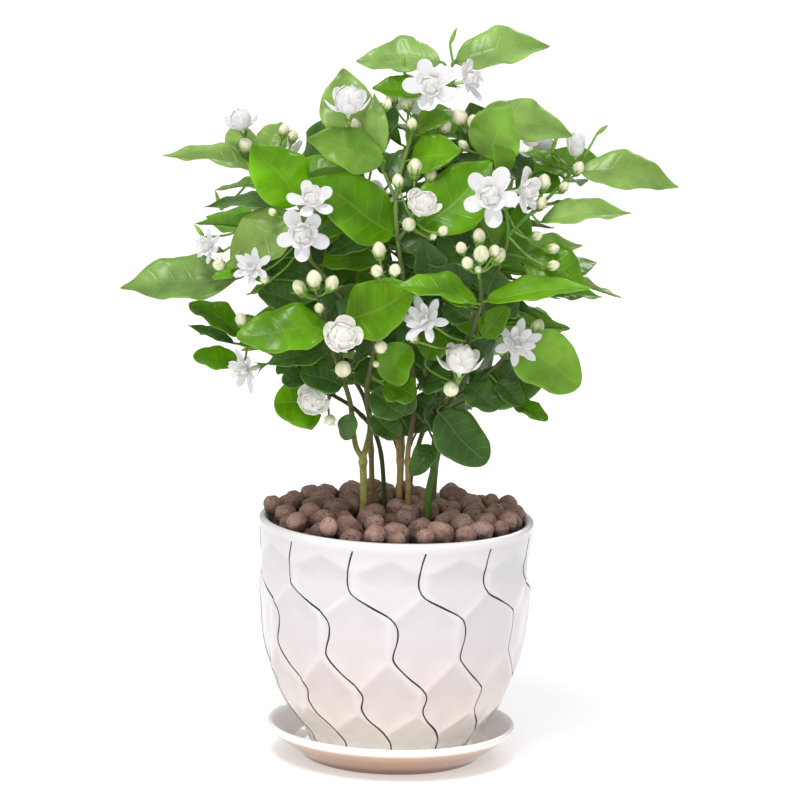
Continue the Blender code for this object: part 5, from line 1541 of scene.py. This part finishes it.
def draw_petal(surface, bloom, ring, number, tint):
    """One petal as a curled sheet; those much longer than wide end in a point."""
    count, opening, length_share, width_share, cup, tip, offset = ring
    pointed = width_share < 0.6
    out = bloom.out(number, offset, count)
    reach, across, hollow, length, tilt = bloom.petal_axes(number, out, opening, length_share)
    root = bloom_seat(bloom) + bloom.facing * (0.035 * bloom.diameter)
    root += out * (0.05 * bloom.diameter * sin(tilt))
    twist = 0.12 * sin(bloom.phase * 13 + number * 2.1)

    def point_at(place, side):
        half = length * width_share / 2 * petal_width(place, pointed)
        lift = cup * length * (place * place - place) + tip * length * place ** 3
        middle = root + reach * (length * place) + hollow * lift
        curl = 0.55 * cup * half * side * side + twist * half * side * place
        wave = 0.05 * half * sin(5 * side + 7 * place + bloom.phase * 11 + number)
        return middle + across * (half * side) + hollow * (curl + wave), tint

    places = [sin(pi / 2 * row / PETAL_ROWS) ** 0.9 for row in range(PETAL_ROWS + 1)]
    surface.sheet(places, PETAL_COLUMNS, point_at)


def draw_heart(surface, bloom, tint):
    """The closed heart, and petals that still wrap it, each with one edge over its neighbour."""
    share, lift, stretch, wraps = HEARTS[bloom.style]
    radius = share * bloom.diameter
    middle = bloom_seat(bloom) + bloom.facing * (lift * bloom.diameter)
    draw_egg(surface, middle, bloom.facing * (radius * stretch), radius, bloom.phase * 7, (tint, tint))

    def point_at(place, side):
        polar = pi * (0.08 + (closing - 0.08) * place * (1 + 0.05 * sin(number * 2.3 + bloom.phase)))
        spread = 1.25 * tau / count * (1 - place ** 5) ** 0.5 * (0.75 + 0.25 * place)
        angle = turn + side * spread / 2 + 0.35 * place
        curl = 0.05 * place ** 6 + 0.035 * side * side * place
        wave = 0.02 * sin(3 * side + 5 * place + number)
        reach = radius * breadth * (1 + 0.05 * side + curl + wave)
        out = direction_at(bloom.side, bloom.other, angle)
        return middle + out * (reach * sin(polar)) - bloom.facing * (reach * stretch * cos(polar)), tint

    places = [row / PETAL_ROWS for row in range(PETAL_ROWS + 1)]
    for count, breadth, closing, offset in wraps:
        for number in range(count):
            turn = tau * (number + offset + bloom.phase) / count
            surface.sheet(places, PETAL_COLUMNS, point_at, WRAP_FOOT)


def make_bloom(title, bloom, draw):
    """One bloom: its slender tube and all its petals."""
    surface = Surface()
    # Painted light that lifts blooms in the crown's shade
    lift = BLOOM_PAINTED_LIGHT.get(title, 1.0)
    tint = shaded(PETAL_WARM if title in WARM_BLOOMS else PETAL_COOL, lift)
    heart = shaded(PETAL_HEART, lift)
    for ring_number, ring in enumerate(FINE_STYLES[bloom.style]):
        inner = ring_number / max(1, len(FINE_STYLES[bloom.style]) - 1)
        for number in range(ring[0]):
            own = shaded(mixed(tint, heart, 0.5 * inner), draw.uniform(0.97, 1.02))
            draw_petal(surface, bloom, ring, number, own)
    draw_heart(surface, bloom, mixed(tint, heart, 0.6))
    piece = surface.piece(title + "_petals", [petal_material()], "petal_white", [title])
    thicken(piece, PETAL_SHEET)
    tube_surface = Surface()
    seat = bloom_seat(bloom)
    path = [bloom.foot, bloom.foot.lerp(seat, 0.5), seat, seat + bloom.facing * (0.07 * bloom.diameter)]
    radii = [share * bloom.diameter for share in (0.045, 0.05, 0.075, 0.06)]
    draw_tube(tube_surface, path, radii, 14, [PETAL_TUBE])
    tube_surface.piece(title + "_tube", [petal_material()], "petal_white", [title])


def thicken(piece, thickness, under_slot=0):
    solid = piece.modifiers.new("thickness", "SOLIDIFY")
    solid.thickness = thickness
    solid.offset = -1.0
    solid.material_offset = under_slot
    solid.use_even_offset = False


def draw_twig(wood, node, pixel, course):
    start = nearest_seen(node, pixel)
    path = smooth_path([start] + [seen_at(spot[:2], start.y / MM + spot[2]) for spot in course], 5)
    draw_tube(wood, path, tapered(0.85, 0.40, len(path)), 6, [TWIG_TINT])


def make_crown():
    """Draws all that has grown: each stem's leaves, wood and sprays, and each bloom by itself."""
    draw = Random(31)
    blades = {node: Surface() for node in STEM_TINTS}
    wood = {node: Surface() for node in STEM_TINTS}
    sprays = {node: Surface() for node in STEM_TINTS}
    for name, (node, points) in shoots.items():
        draw_shoot(wood[node], node, points, shoot_radii[name])
    for node, points, radii in trunks:
        draw_shoot(wood[node], node, points, radii)
    for node, pixel, course in TWIGS:
        draw_twig(wood[node], node, pixel, course)
    for grid, grown in ((LARGE_GRID, leaves), (SMALL_GRID, fillers)):
        for node, leaf, tone in grown:
            draw_leaf(blades[node], wood[node], leaf, tone, draw, *grid)
    for node, start, centre, axis, radius in buds:
        foot = centre - axis
        cup_foot = foot - axis.normalized() * (1.2 * MM)
        draw_stalk(sprays[node], start, foot, 0.75, 0.7)
        draw_calyx(sprays[node], cup_foot, foot + axis * 0.22, radius * 0.64, 7, radius * BUD_LENGTH, draw)
        draw_bud(sprays[node], centre, axis, radius, draw)
    for node, start, lower, upper in tips:
        draw_stalk(sprays[node], start, lower, 0.8, 0.8)
        draw_spear(sprays[node], lower, upper)
    for title, node, bloom, start, calyx_base, calyx_top in blooms:
        reach = CALYX_LENGTH * bloom.diameter
        draw_stalk(sprays[node], start, calyx_base, 0.75, 0.85)
        draw_calyx(sprays[node], calyx_base, calyx_top, 0.07 * bloom.diameter, 6, reach, draw)
        make_bloom(title, bloom, draw)
    for node in STEM_TINTS:
        leaf_materials = [leaf_material(False), leaf_material(True)]
        leaf_piece = blades[node].piece(node + "_leaves", leaf_materials, "jasmine_green", [node])
        thicken(leaf_piece, LEAF_SHEET, 1)
        wood[node].piece(node + "_wood", [wood_material()], "jasmine_green", [node])
        if sprays[node].faces:
            sprays[node].piece(node + "_sprays", [wood_material(), bud_material()], "jasmine_green", [node])


def draw_spear(surface, lower, upper):
    """A young shoot tip: two narrow leaves still folded together."""
    run = upper - lower
    side, _ = frame_along(run.normalized())
    for turn in (-1, 1):
        path = []
        for step in range(len(SPEAR_RADII)):
            t = step / (len(SPEAR_RADII) - 1)
            path.append(lower + run * t + side * (turn * 1.6 * MM * sin(pi * t) ** 0.8))
        draw_tube(surface, path, [radius * MM for radius in SPEAR_RADII], 8, [SPEAR_TINT])


def wall_length():
    """The pot wall's height and its length along the wall from the foot, in mm."""
    travelled = 0.0
    pairs = [(POT_WALL[0][0], 0.0)]
    for (low, first), (high, second) in zip(POT_WALL, POT_WALL[1:]):
        travelled += ((high - low) ** 2 + (second - first) ** 2) ** 0.5
        pairs.append((high, travelled))
    return pairs


WALL_LENGTH = wall_length()
WALL_CURVE = [tuple(point) for point in smooth_path(POT_WALL, 8)]


def wall_radius(height):
    """The smooth wall's radius in mm."""
    return between(max(height, WALL_CURVE[0][0]), WALL_CURVE)


def run_up_wall(height):
    return height - POT_WALL[0][0] if height < POT_WALL[0][0] else between(height, WALL_LENGTH)


def reach_to(x, y, first, second):
    """Distance from a place to the straight run between two others."""
    run_x = second[0] - first[0]
    run_y = second[1] - first[1]
    length = run_x * run_x + run_y * run_y
    share = max(0.0, min(1.0, ((x - first[0]) * run_x + (y - first[1]) * run_y) / length)) if length else 0.0
    return hypot(x - first[0] - run_x * share, y - first[1] - run_y * share)


def dimple_depth(angle, height):
    """How deep the glaze lies under the ridges, in mm."""
    step = tau / HONEYCOMB_COLUMNS
    half = step / 2
    radius = wall_radius(height)
    along = run_up_wall(height)
    nearest = DIMPLE_REACH
    for row, (low, high) in enumerate(RIDGE_ROWS):
        ceiling = HONEYCOMB_TOP if row == 0 else RIDGE_ROWS[row - 1][0]
        turn = (angle - POT_TURN - HONEYCOMB_TURN - row % 2 * half) % step
        offset = min(turn, step - turn)
        if row == 0 and height > high + (ceiling - high) * offset / half:
            return 0.0
        across = offset * radius
        top = run_up_wall(high)
        nearest = min(nearest, reach_to(across, along, (0.0, run_up_wall(low)), (0.0, top)),
                      reach_to(across, along, (0.0, top), (half * radius, run_up_wall(ceiling))))
    nearest = (nearest * nearest + RIDGE_ROUNDING ** 2) ** 0.5 - RIDGE_ROUNDING
    return DIMPLE_DEPTH * (1 - (1 - min(1.0, nearest / DIMPLE_REACH)) ** 2)


def lathe(surface, section, tints, columns, dimpled_rows=0):
    """Turns a section of (height, radius) points in mm about the axis, outer side to the right of its run."""
    rows = []
    dark, light = RIDGE_PAINTED_SHADE_AND_HIGHLIGHT
    for index, (height, radius) in enumerate(section):
        row = []
        for column in range(columns):
            angle = tau * column / columns
            reach = radius
            tint = tints[index]
            if index < dimpled_rows:
                depth = dimple_depth(angle, height)
                reach -= depth
                # Painted shade in each dimple and a painted highlight on its ridges, then painted shade that
                # follows the dimple's slope as under light from above
                ridge = dark + (light - dark) * (1 - depth / DIMPLE_DEPTH) ** 5
                slope = (dimple_depth(angle, height + 1) - dimple_depth(angle, height - 1)) / 2
                share = SLOPE_PAINTED_SHADE + (LOW_SLOPE_PAINTED_SHADE - SLOPE_PAINTED_SHADE) * (1 - smoothstep(height, 60, 90))
                tint = shaded(shaded(tint, ridge), 1 + share * slope)
            row.append(surface.add(on_round(reach, angle, height), tint, (column / columns, height / 160)))
        rows.append(row)
    surface.grid(rows, closed=True)


def tint_along(value, pairs):
    """A tint from a list of (position, tint) pairs in rising order."""
    for (low, first), (high, following) in zip(pairs, pairs[1:]):
        if value <= high:
            return mixed(first, following, max(0.0, (value - low) / (high - low)))
    return pairs[-1][1]


def make_fine_pot():
    """The pot: its dimpled wall, rounded lip, smooth inside with the drain hole, and foot ring."""
    surface = Surface()
    foot, foot_radius = POT_WALL[0]
    section = []
    for step in range(WALL_STEPS + 1):
        height = foot + (POT_WALL[-1][0] - foot) * step / WALL_STEPS
        section.append((height, wall_radius(height)))
    lip = rounded(POT_WALL[-1:] + POT_LIP + POT_INSIDE[:1], *LIP_ROUNDING)
    section += [tuple(point) for point in lip[1:]]
    section += POT_INSIDE[1:]
    ring_inside = foot_radius - FOOT_RING_WIDTH
    section += [(POT_FLOOR_HEIGHT, POT_INSIDE[-1][1] - FLOOR_EDGE), (POT_FLOOR_HEIGHT, DRAIN_HOLE_RADIUS),
                (foot + FOOT_RECESS, DRAIN_HOLE_RADIUS), (foot + FOOT_RECESS, ring_inside),
                (foot, ring_inside), (foot, foot_radius)]
    tints = [tint_along(height, GLAZE_TINTS_AND_PAINTED_LIGHT) for height, _ in section]
    lathe(surface, section, tints, POT_COLUMNS, WALL_STEPS + 1)
    surface.piece("glazed_pot", [glaze_material("pot_glaze", 0.0004)], "white_glaze", ["pot"])


def make_fine_saucer():
    surface = Surface()
    section = [(point.x, max(point.y, 0.05)) for point in rounded(SAUCER_SECTION, *SAUCER_ROUNDING)]
    lengths = [0.0]
    for first, following in zip(section, section[1:]):
        lengths.append(lengths[-1] + hypot(following[0] - first[0], following[1] - first[1]))
    tints = [tint_along(length / lengths[-1], SAUCER_TINTS_AND_PAINTED_LIGHT) for length in lengths]
    lathe(surface, section, tints, SAUCER_COLUMNS)
    surface.piece("glazed_saucer", [glaze_material("saucer_glaze", 0.0002)], "white_glaze", ["saucer"])


LINE_CURVE = sorted((point.y, point.x) for point in smooth_path(LINE_COURSE, 6))


def line_offset(height):
    """How far round from its start a painted line lies at a height, in degrees."""
    return between(height, LINE_CURVE)


def outer_radius(height):
    """The pot's outer radius in mm, on its wall or on the rounded edge of the rim above it."""
    if height <= POT_WALL[-1][0]:
        return wall_radius(height)
    return between(height, (POT_WALL[-1], (POT_LIP[0][0] - 1.5, 90.0), POT_LIP[0]))


def make_painted_lines():
    """Twelve thin wavy lines painted on the glaze, from the rim to the foot."""
    surface = Surface()
    top = LINE_COURSE[0][1]
    low = LINE_COURSE[-1][1]
    for number in range(LINE_COUNT):
        rows = []
        for step in range(LINE_STEPS + 1):
            height = top + (low - top) * step / LINE_STEPS
            turn = LINE_START + number * 360 / LINE_COUNT + line_offset(height)
            radius = outer_radius(height)
            slope = (line_offset(min(height + 1, top)) - line_offset(max(height - 1, low))) / 2
            lean = radians(slope) * radius
            size = (1 + lean * lean) ** 0.5
            row = []
            for side, proud in LINE_SECTION:
                half = side * LINE_WIDTH / 2 * (1 + 0.12 * sin(step * 0.37 + number))
                angle = radians(turn) - pi / 2 + half / size / radius
                level = height - half * lean / size
                reach = outer_radius(level) - dimple_depth(angle, level) + proud
                row.append(surface.add(on_round(reach, angle, level)))
            rows.append(row)
        surface.grid(rows)
    surface.piece("painted_lines", [plain_material("line_glaze", LINE_TINT, 0.3)], "white_glaze", [])


def mound(distance):
    """The height in mm that the heap of pebbles reaches at a distance from the axis."""
    return MOUND_MIDDLE + (MOUND_EDGE - MOUND_MIDDLE) * (distance / PEBBLE_REACH) ** 2


def touches_pot(distance, height, radius):
    """Whether a pebble at this distance from the axis would enter the pot's wall or lip."""
    for wall_height, wall_reach in POT_LIP[1:] + POT_INSIDE[:1]:
        away = height - wall_height
        if abs(away) < radius and distance + (radius * radius - away * away) ** 0.5 > wall_reach:
            return True
    return height < POT_LIP[-1][0] and distance + radius > POT_INSIDE[0][1]


def seat_height(x, y, radius, placed):
    """How high a pebble comes to lie when it is let down at a place, on the soil or on the pebbles there."""
    z = SOIL_TOP + radius
    for other_x, other_y, other_z, other_radius in placed:
        gap = hypot(x - other_x, y - other_y)
        reach = (radius + other_radius) * PEBBLE_CLOSENESS
        if gap < reach:
            z = max(z, other_z + (reach * reach - gap * gap) ** 0.5)
    return z


def drop_pebbles():
    """Drops pebbles one by one: each takes the lowest of a few seats, on the soil or on those before it."""
    draw = Random(17)
    placed = []
    feet = [shoot[2] for shoot in SHOOTS if shoot[2]] + [root for _, root, _ in BACK_STEMS]
    misses = 0
    while misses < PEBBLE_MISSES:
        radius = draw.choice(PEBBLE_SIZES) * draw.uniform(0.92, 1.08)
        best = None
        for _ in range(PEBBLE_TRIES):
            distance = (PEBBLE_REACH - radius) * draw.random() ** 0.5
            angle = draw.uniform(0, tau)
            x = distance * cos(angle)
            y = distance * sin(angle)
            if any(hypot(x - foot[0], y - foot[1]) < radius * 0.8 + 3 for foot in feet):
                continue
            z = seat_height(x, y, radius, placed)
            if touches_pot(distance, z, radius):
                continue
            if best is None or z < best[2]:
                best = (x, y, z, radius)
        if best is None or best[2] + best[3] > mound(hypot(best[0], best[1])):
            misses += 1
        else:
            misses = 0
            placed.append(best)
    for number in range(EDGE_PLACES):
        radius = draw.choice(EDGE_PEBBLES)
        angle = tau * number / EDGE_PLACES
        for distance in EDGE_DISTANCES:
            x = distance * cos(angle)
            y = distance * sin(angle)
            z = seat_height(x, y, radius, placed)
            if z + radius < MOUND_EDGE + 1 and not touches_pot(distance, z, radius):
                placed.append((x, y, z, radius))
                break
    return placed


def ball(subdivisions):
    """The points and faces of a round ball of radius 1."""
    shape = bmesh.new()
    bmesh.ops.create_icosphere(shape, subdivisions=subdivisions, radius=1.0)
    points = [point.co.copy() for point in shape.verts]
    faces = [tuple(point.index for point in face.verts) for face in shape.faces]
    shape.free()
    return points, faces


def make_fine_pebbles():
    """Fired-clay pebbles: round but lumpy, finer where they show at the heap's top."""
    draw = Random(41)
    surface = Surface()
    fine_ball = ball(4)
    coarse_ball = ball(3)
    for x, y, z, radius in drop_pebbles():
        shift = Vector((draw.uniform(0, 50), draw.uniform(0, 50), draw.uniform(0, 50)))
        squash = Vector((draw.uniform(0.86, 1.08), draw.uniform(0.86, 1.06), draw.uniform(0.82, 1.0)))
        angle = draw.uniform(0, tau)
        spin = Matrix.Rotation(angle, 3, Vector((draw.uniform(-1, 1), draw.uniform(-1, 1), 0.6)))
        tint = mixed(CLAY_TINTS[0], CLAY_TINTS[1], draw.random())
        tint = mixed(tint, CLAY_TINTS[2], 0.5 * draw.random() ** 2)
        top = mound(hypot(x, y))
        points, faces = fine_ball if z + radius > top - SEEN_DEPTH else coarse_ball
        first = len(surface.points)
        centre = Vector((x, y, z))
        for point in points:
            lump = 0.14 * noise.noise(point * 1.5 + shift) + 0.04 * noise.noise(point * 5 + shift)
            spot = centre + spin @ Vector([a * b for a, b in zip(point, squash)]) * (radius * (1 + lump))
            # Painted shade: each point is darker the deeper it lies below the heap's top
            shade = CLAY_GAP_PAINTED_SHADE + (1 - CLAY_GAP_PAINTED_SHADE) * smoothstep(spot.z, top - CLAY_GAP_DEPTH, top - 2)
            surface.add(spot * MM, shaded(tint, shade))
        for face in faces:
            surface.face([first + corner for corner in face])
    surface.piece("fired_clay_pebbles", [clay_material()], "fired_clay", ["clay_pebbles"])


class Shader:
    """A material made of nodes round one Principled shader."""

    def __init__(self, name):
        self.material = bpy.data.materials.new(name)
        self.material.use_nodes = True
        self.tree = self.material.node_tree
        self.principled = self.tree.nodes["Principled BSDF"]

    def node(self, kind, **values):
        made = self.tree.nodes.new(kind)
        for name, value in values.items():
            if name in made.inputs:
                made.inputs[name].default_value = value
            else:
                setattr(made, name, value)
        return made

    def link(self, output, socket):
        self.tree.links.new(output, socket)

    def math(self, operation, *values):
        made = self.node("ShaderNodeMath", operation=operation)
        for socket, value in zip(made.inputs, values):
            if isinstance(value, (int, float)):
                socket.default_value = value
            else:
                self.link(value, socket)
        return made.outputs[0]

    def ramp(self, value, low, high, first=0.0, second=1.0):
        """Maps a value from one range to another, smoothly and held at both ends."""
        ends = {"From Min": low, "From Max": high, "To Min": first, "To Max": second}
        made = self.node("ShaderNodeMapRange", interpolation_type="SMOOTHSTEP", **ends)
        self.link(value, made.inputs["Value"])
        return made.outputs["Result"]

    def mix(self, share, first, second, blend="MIX"):
        made = self.node("ShaderNodeMix", data_type="RGBA", blend_type=blend)
        for value, socket in ((share, made.inputs[0]), (first, made.inputs[6]), (second, made.inputs[7])):
            if isinstance(value, bpy.types.NodeSocket):
                self.link(value, socket)
            else:
                socket.default_value = (*value, 1.0) if isinstance(value, tuple) else value
        return made.outputs[2]

    def tint(self):
        return self.node("ShaderNodeAttribute", attribute_name="tint").outputs["Color"]

    def place(self):
        """Where a point lies across and along its sheet."""
        split = self.node("ShaderNodeSeparateXYZ")
        self.link(self.node("ShaderNodeTexCoord").outputs["UV"], split.inputs[0])
        return split.outputs[0], split.outputs[1]

    def noise(self, scale, detail=3.0):
        made = self.node("ShaderNodeTexNoise", Scale=scale, Detail=detail)
        self.link(self.node("ShaderNodeTexCoord").outputs["Object"], made.inputs["Vector"])
        return made.outputs[0]

    def bump(self, height, distance, strength):
        made = self.node("ShaderNodeBump", Distance=distance, Strength=strength)
        self.link(height, made.inputs["Height"])
        self.link(made.outputs[0], self.principled.inputs["Normal"])

    def set(self, **values):
        for name, value in values.items():
            self.principled.inputs[name.replace("_", " ")].default_value = value

    def colour(self, output):
        self.link(output, self.principled.inputs["Base Color"])


def once(make):
    """Keeps the material that a function makes, one for each set of its arguments."""
    made = {}

    def kept(*arguments):
        if arguments not in made:
            made[arguments] = make(*arguments)
        return made[arguments]
    return kept


@once
def plain_material(name, tint, roughness):
    shader = Shader(name)
    shader.set(Base_Color=(*tint, 1.0), Roughness=roughness)
    return shader.material


@once
def glaze_material(name, unevenness):
    shader = Shader(name)
    shader.colour(shader.tint())
    shader.set(Roughness=0.20, Coat_Weight=0.5, Coat_Roughness=0.08)
    shader.bump(shader.noise(60.0), unevenness, 0.35)
    return shader.material


@once
def leaf_material(under):
    """A leaf's upper face with its midrib and side veins, or its paler underside."""
    shader = Shader("leaf_underside" if under else "leaf_upper")
    across, along = shader.place()
    side = shader.math("MULTIPLY_ADD", across, 2.0, -1.0)
    away = shader.math("ABSOLUTE", side)
    midrib = shader.ramp(away, 0.02, 0.07, 1.0, 0.0)
    right = shader.math("GREATER_THAN", side, 0.0)
    count = shader.math("MULTIPLY_ADD", along, VEINS, shader.math("MULTIPLY", right, 0.5))
    count = shader.math("ADD", count, shader.math("MULTIPLY", shader.noise(30.0), 0.5))
    course = shader.math("FRACT", shader.math("SUBTRACT", count, shader.math("MULTIPLY", away, VEIN_SLANT)))
    near = shader.math("MINIMUM", course, shader.math("SUBTRACT", 1.0, course))
    fading = shader.ramp(away, 0.55, 0.95, 1.0, 0.15)
    vein = shader.math("MULTIPLY", shader.ramp(near, 0.015, 0.09, 1.0, 0.0), fading)
    lines = shader.math("MAXIMUM", midrib, shader.math("MULTIPLY", vein, 0.55))
    shade = shader.ramp(shader.noise(45.0), 0.3, 0.7, 0.72, 1.22)
    mottled = shader.mix(1.0, shader.tint(), shade, "MULTIPLY")
    margin = shader.ramp(away, 0.90, 0.99, 0.0, 0.22)
    lines_and_margin = shader.math("MAXIMUM", shader.math("MULTIPLY", lines, 0.14), margin)
    veined = shader.mix(lines_and_margin, mottled, (0.40, 0.58, 0.08))
    if under:
        veined = shader.mix(0.30, veined, (0.24, 0.38, 0.10))
    shader.colour(veined)
    shader.set(Roughness=0.55 if under else 0.28, Subsurface_Weight=0.16, Subsurface_Scale=0.004)
    shader.set(Subsurface_Radius=(0.5, 1.0, 0.15), Specular_IOR_Level=0.12 if under else 0.25)
    height = shader.math("SUBTRACT", shader.noise(160.0), lines)
    shader.bump(height, -0.0005 if under else 0.00035, 0.7)
    return shader.material


@once
def wood_material():
    shader = Shader("green_wood")
    grain = shader.ramp(shader.noise(170.0, 5.0), 0.45, 0.68, 0.0, 0.55)
    shader.colour(shader.mix(grain, shader.tint(), (0.13, 0.10, 0.04)))
    shader.set(Roughness=0.6)
    shader.bump(shader.noise(700.0), 0.0004, 0.6)
    return shader.material


@once
def bud_material():
    shader = Shader("bud_petal")
    shader.colour(shader.tint())
    shader.set(Roughness=0.45, Subsurface_Weight=0.3, Subsurface_Scale=0.004)
    shader.set(Subsurface_Radius=(1.0, 0.95, 0.6))
    return shader.material


@once
def petal_material():
    """White petals with a little light through them, a faint painted glow that lifts their shade, and faint
    lengthwise lines.
    """
    shader = Shader("white_petal")
    across, along = shader.place()
    foot = shader.ramp(along, 0.0, 0.35, 0.35, 0.0)
    shader.colour(shader.mix(foot, shader.tint(), PETAL_FOOT))
    shader.set(Roughness=0.5, Subsurface_Weight=0.35, Subsurface_Scale=0.003)
    # A faint white glow as painted light that lifts the petals' shade
    shader.set(Subsurface_Radius=(1.0, 1.0, 0.95), Emission_Color=(*WHITE, 1.0), Emission_Strength=0.05)
    wave = shader.math("SINE", shader.math("MULTIPLY", across, 60.0))
    shader.bump(wave, 0.00012, 0.5)
    return shader.material


@once
def clay_material():
    shader = Shader("porous_clay")
    # Dark pores: painted shade in the hollows that the bump below sinks in
    pore_shade_mask = shader.ramp(shader.noise(650.0, 5.0), 0.30, 0.42, 0.85, 0.0)
    patches = shader.ramp(shader.noise(160.0), 0.35, 0.7, 0.0, 0.4)
    patched = shader.mix(patches, shader.tint(), CLAY_DUST)
    shader.colour(shader.mix(pore_shade_mask, patched, CLAY_PORE_PAINTED_SHADE))
    shader.set(Roughness=0.92, Specular_IOR_Level=0.2)
    shader.bump(shader.noise(650.0, 5.0), 0.0014, 1.0)
    return shader.material


@once
def soil_material():
    shader = Shader("dark_soil")
    crumbs = shader.ramp(shader.noise(500.0), 0.3, 0.7)
    shader.colour(shader.mix(crumbs, (0.02, 0.012, 0.008), (0.07, 0.04, 0.025)))
    shader.set(Roughness=0.95)
    shader.bump(shader.noise(500.0), 0.001, 1.0)
    return shader.material


def make_camera():
    right, up, forward = sight_axes()
    lens = bpy.data.cameras.new("camera")
    lens.sensor_width = SENSOR_WIDTH
    lens.lens = SENSOR_WIDTH * FOCAL_PIXELS / (2 * MIDDLE_PIXEL)
    camera = linked(bpy.data.objects.new("camera", lens))
    camera.matrix_world = Matrix.Translation(EYE) @ Matrix((right, up, -forward)).transposed().to_4x4()
    bpy.context.scene.camera = camera


def make_lamp(name, kind, direction, strength, tint):
    """A lamp that shines in a direction, with the object that carries it."""
    lamp = bpy.data.lights.new(name, kind)
    lamp.energy = strength
    lamp.color = tint
    item = linked(bpy.data.objects.new(name, lamp))
    item.rotation_euler = direction.to_track_quat("-Z", "Y").to_euler()
    return lamp, item


def make_area(name, place, target, size, watts, tint, shines):
    lamp, item = make_lamp(name, "AREA", Vector(target) - Vector(place), watts, tint)
    lamp.shape = "DISK"
    lamp.size = size
    item.visible_glossy = shines
    item.location = place


def make_sun():
    direction, strength, spread, tint = SUN
    lamp, _ = make_lamp("sun", "SUN", Vector(direction), strength, tint)
    lamp.angle = radians(spread)


def make_stage():
    scene = bpy.context.scene
    world = bpy.data.worlds.new("bright_room")
    world.use_nodes = True
    tree = world.node_tree
    background = tree.nodes["Background"]
    background.inputs[0].default_value = (*WORLD_TINT, 1.0)
    split = tree.nodes.new("ShaderNodeSeparateXYZ")
    tree.links.new(tree.nodes.new("ShaderNodeTexCoord").outputs["Generated"], split.inputs[0])
    height = tree.nodes.new("ShaderNodeMapRange")
    height.inputs["To Min"].default_value, height.inputs["To Max"].default_value = WORLD_STRENGTHS
    tree.links.new(split.outputs["Z"], height.inputs["Value"])
    tree.links.new(height.outputs["Result"], background.inputs[1])
    scene.world = world
    scene.view_settings.view_transform = "Standard"
    bpy.ops.mesh.primitive_plane_add(size=FLOOR_SIZE, location=(0, 0, 0))
    floor = bpy.context.object
    floor.name = "floor"
    paint = plain_material("floor_white", FLOOR_TINT, 0.6)
    shine = paint.node_tree.nodes["Principled BSDF"].inputs
    shine["Emission Color"].default_value = (*WHITE, 1.0)
    shine["Emission Strength"].default_value = FLOOR_GLOW
    floor.data.materials.append(paint)
    make_sun()
    for lamp in LAMPS:
        make_area(*lamp)


def main():
    make_stage()
    make_shoots()
    make_back_shoots()
    grow_front_blooms()
    grow_front_leaves()
    grow_buds_and_tips(FRONT_BUDS, SHOOT_TIPS)
    grow_far_side()
    grow_buds_and_tips(SMALL_BUDS, SMALL_TIPS)
    grow_inner_leaves()
    grow_fillers()
    make_crown()
    make_fine_pot()
    make_fine_saucer()
    make_painted_lines()
    make_fine_pebbles()
    soil = bpy.data.objects["potting_soil"]
    soil.data.materials.clear()
    soil.data.materials.append(soil_material())


make_camera()
main()
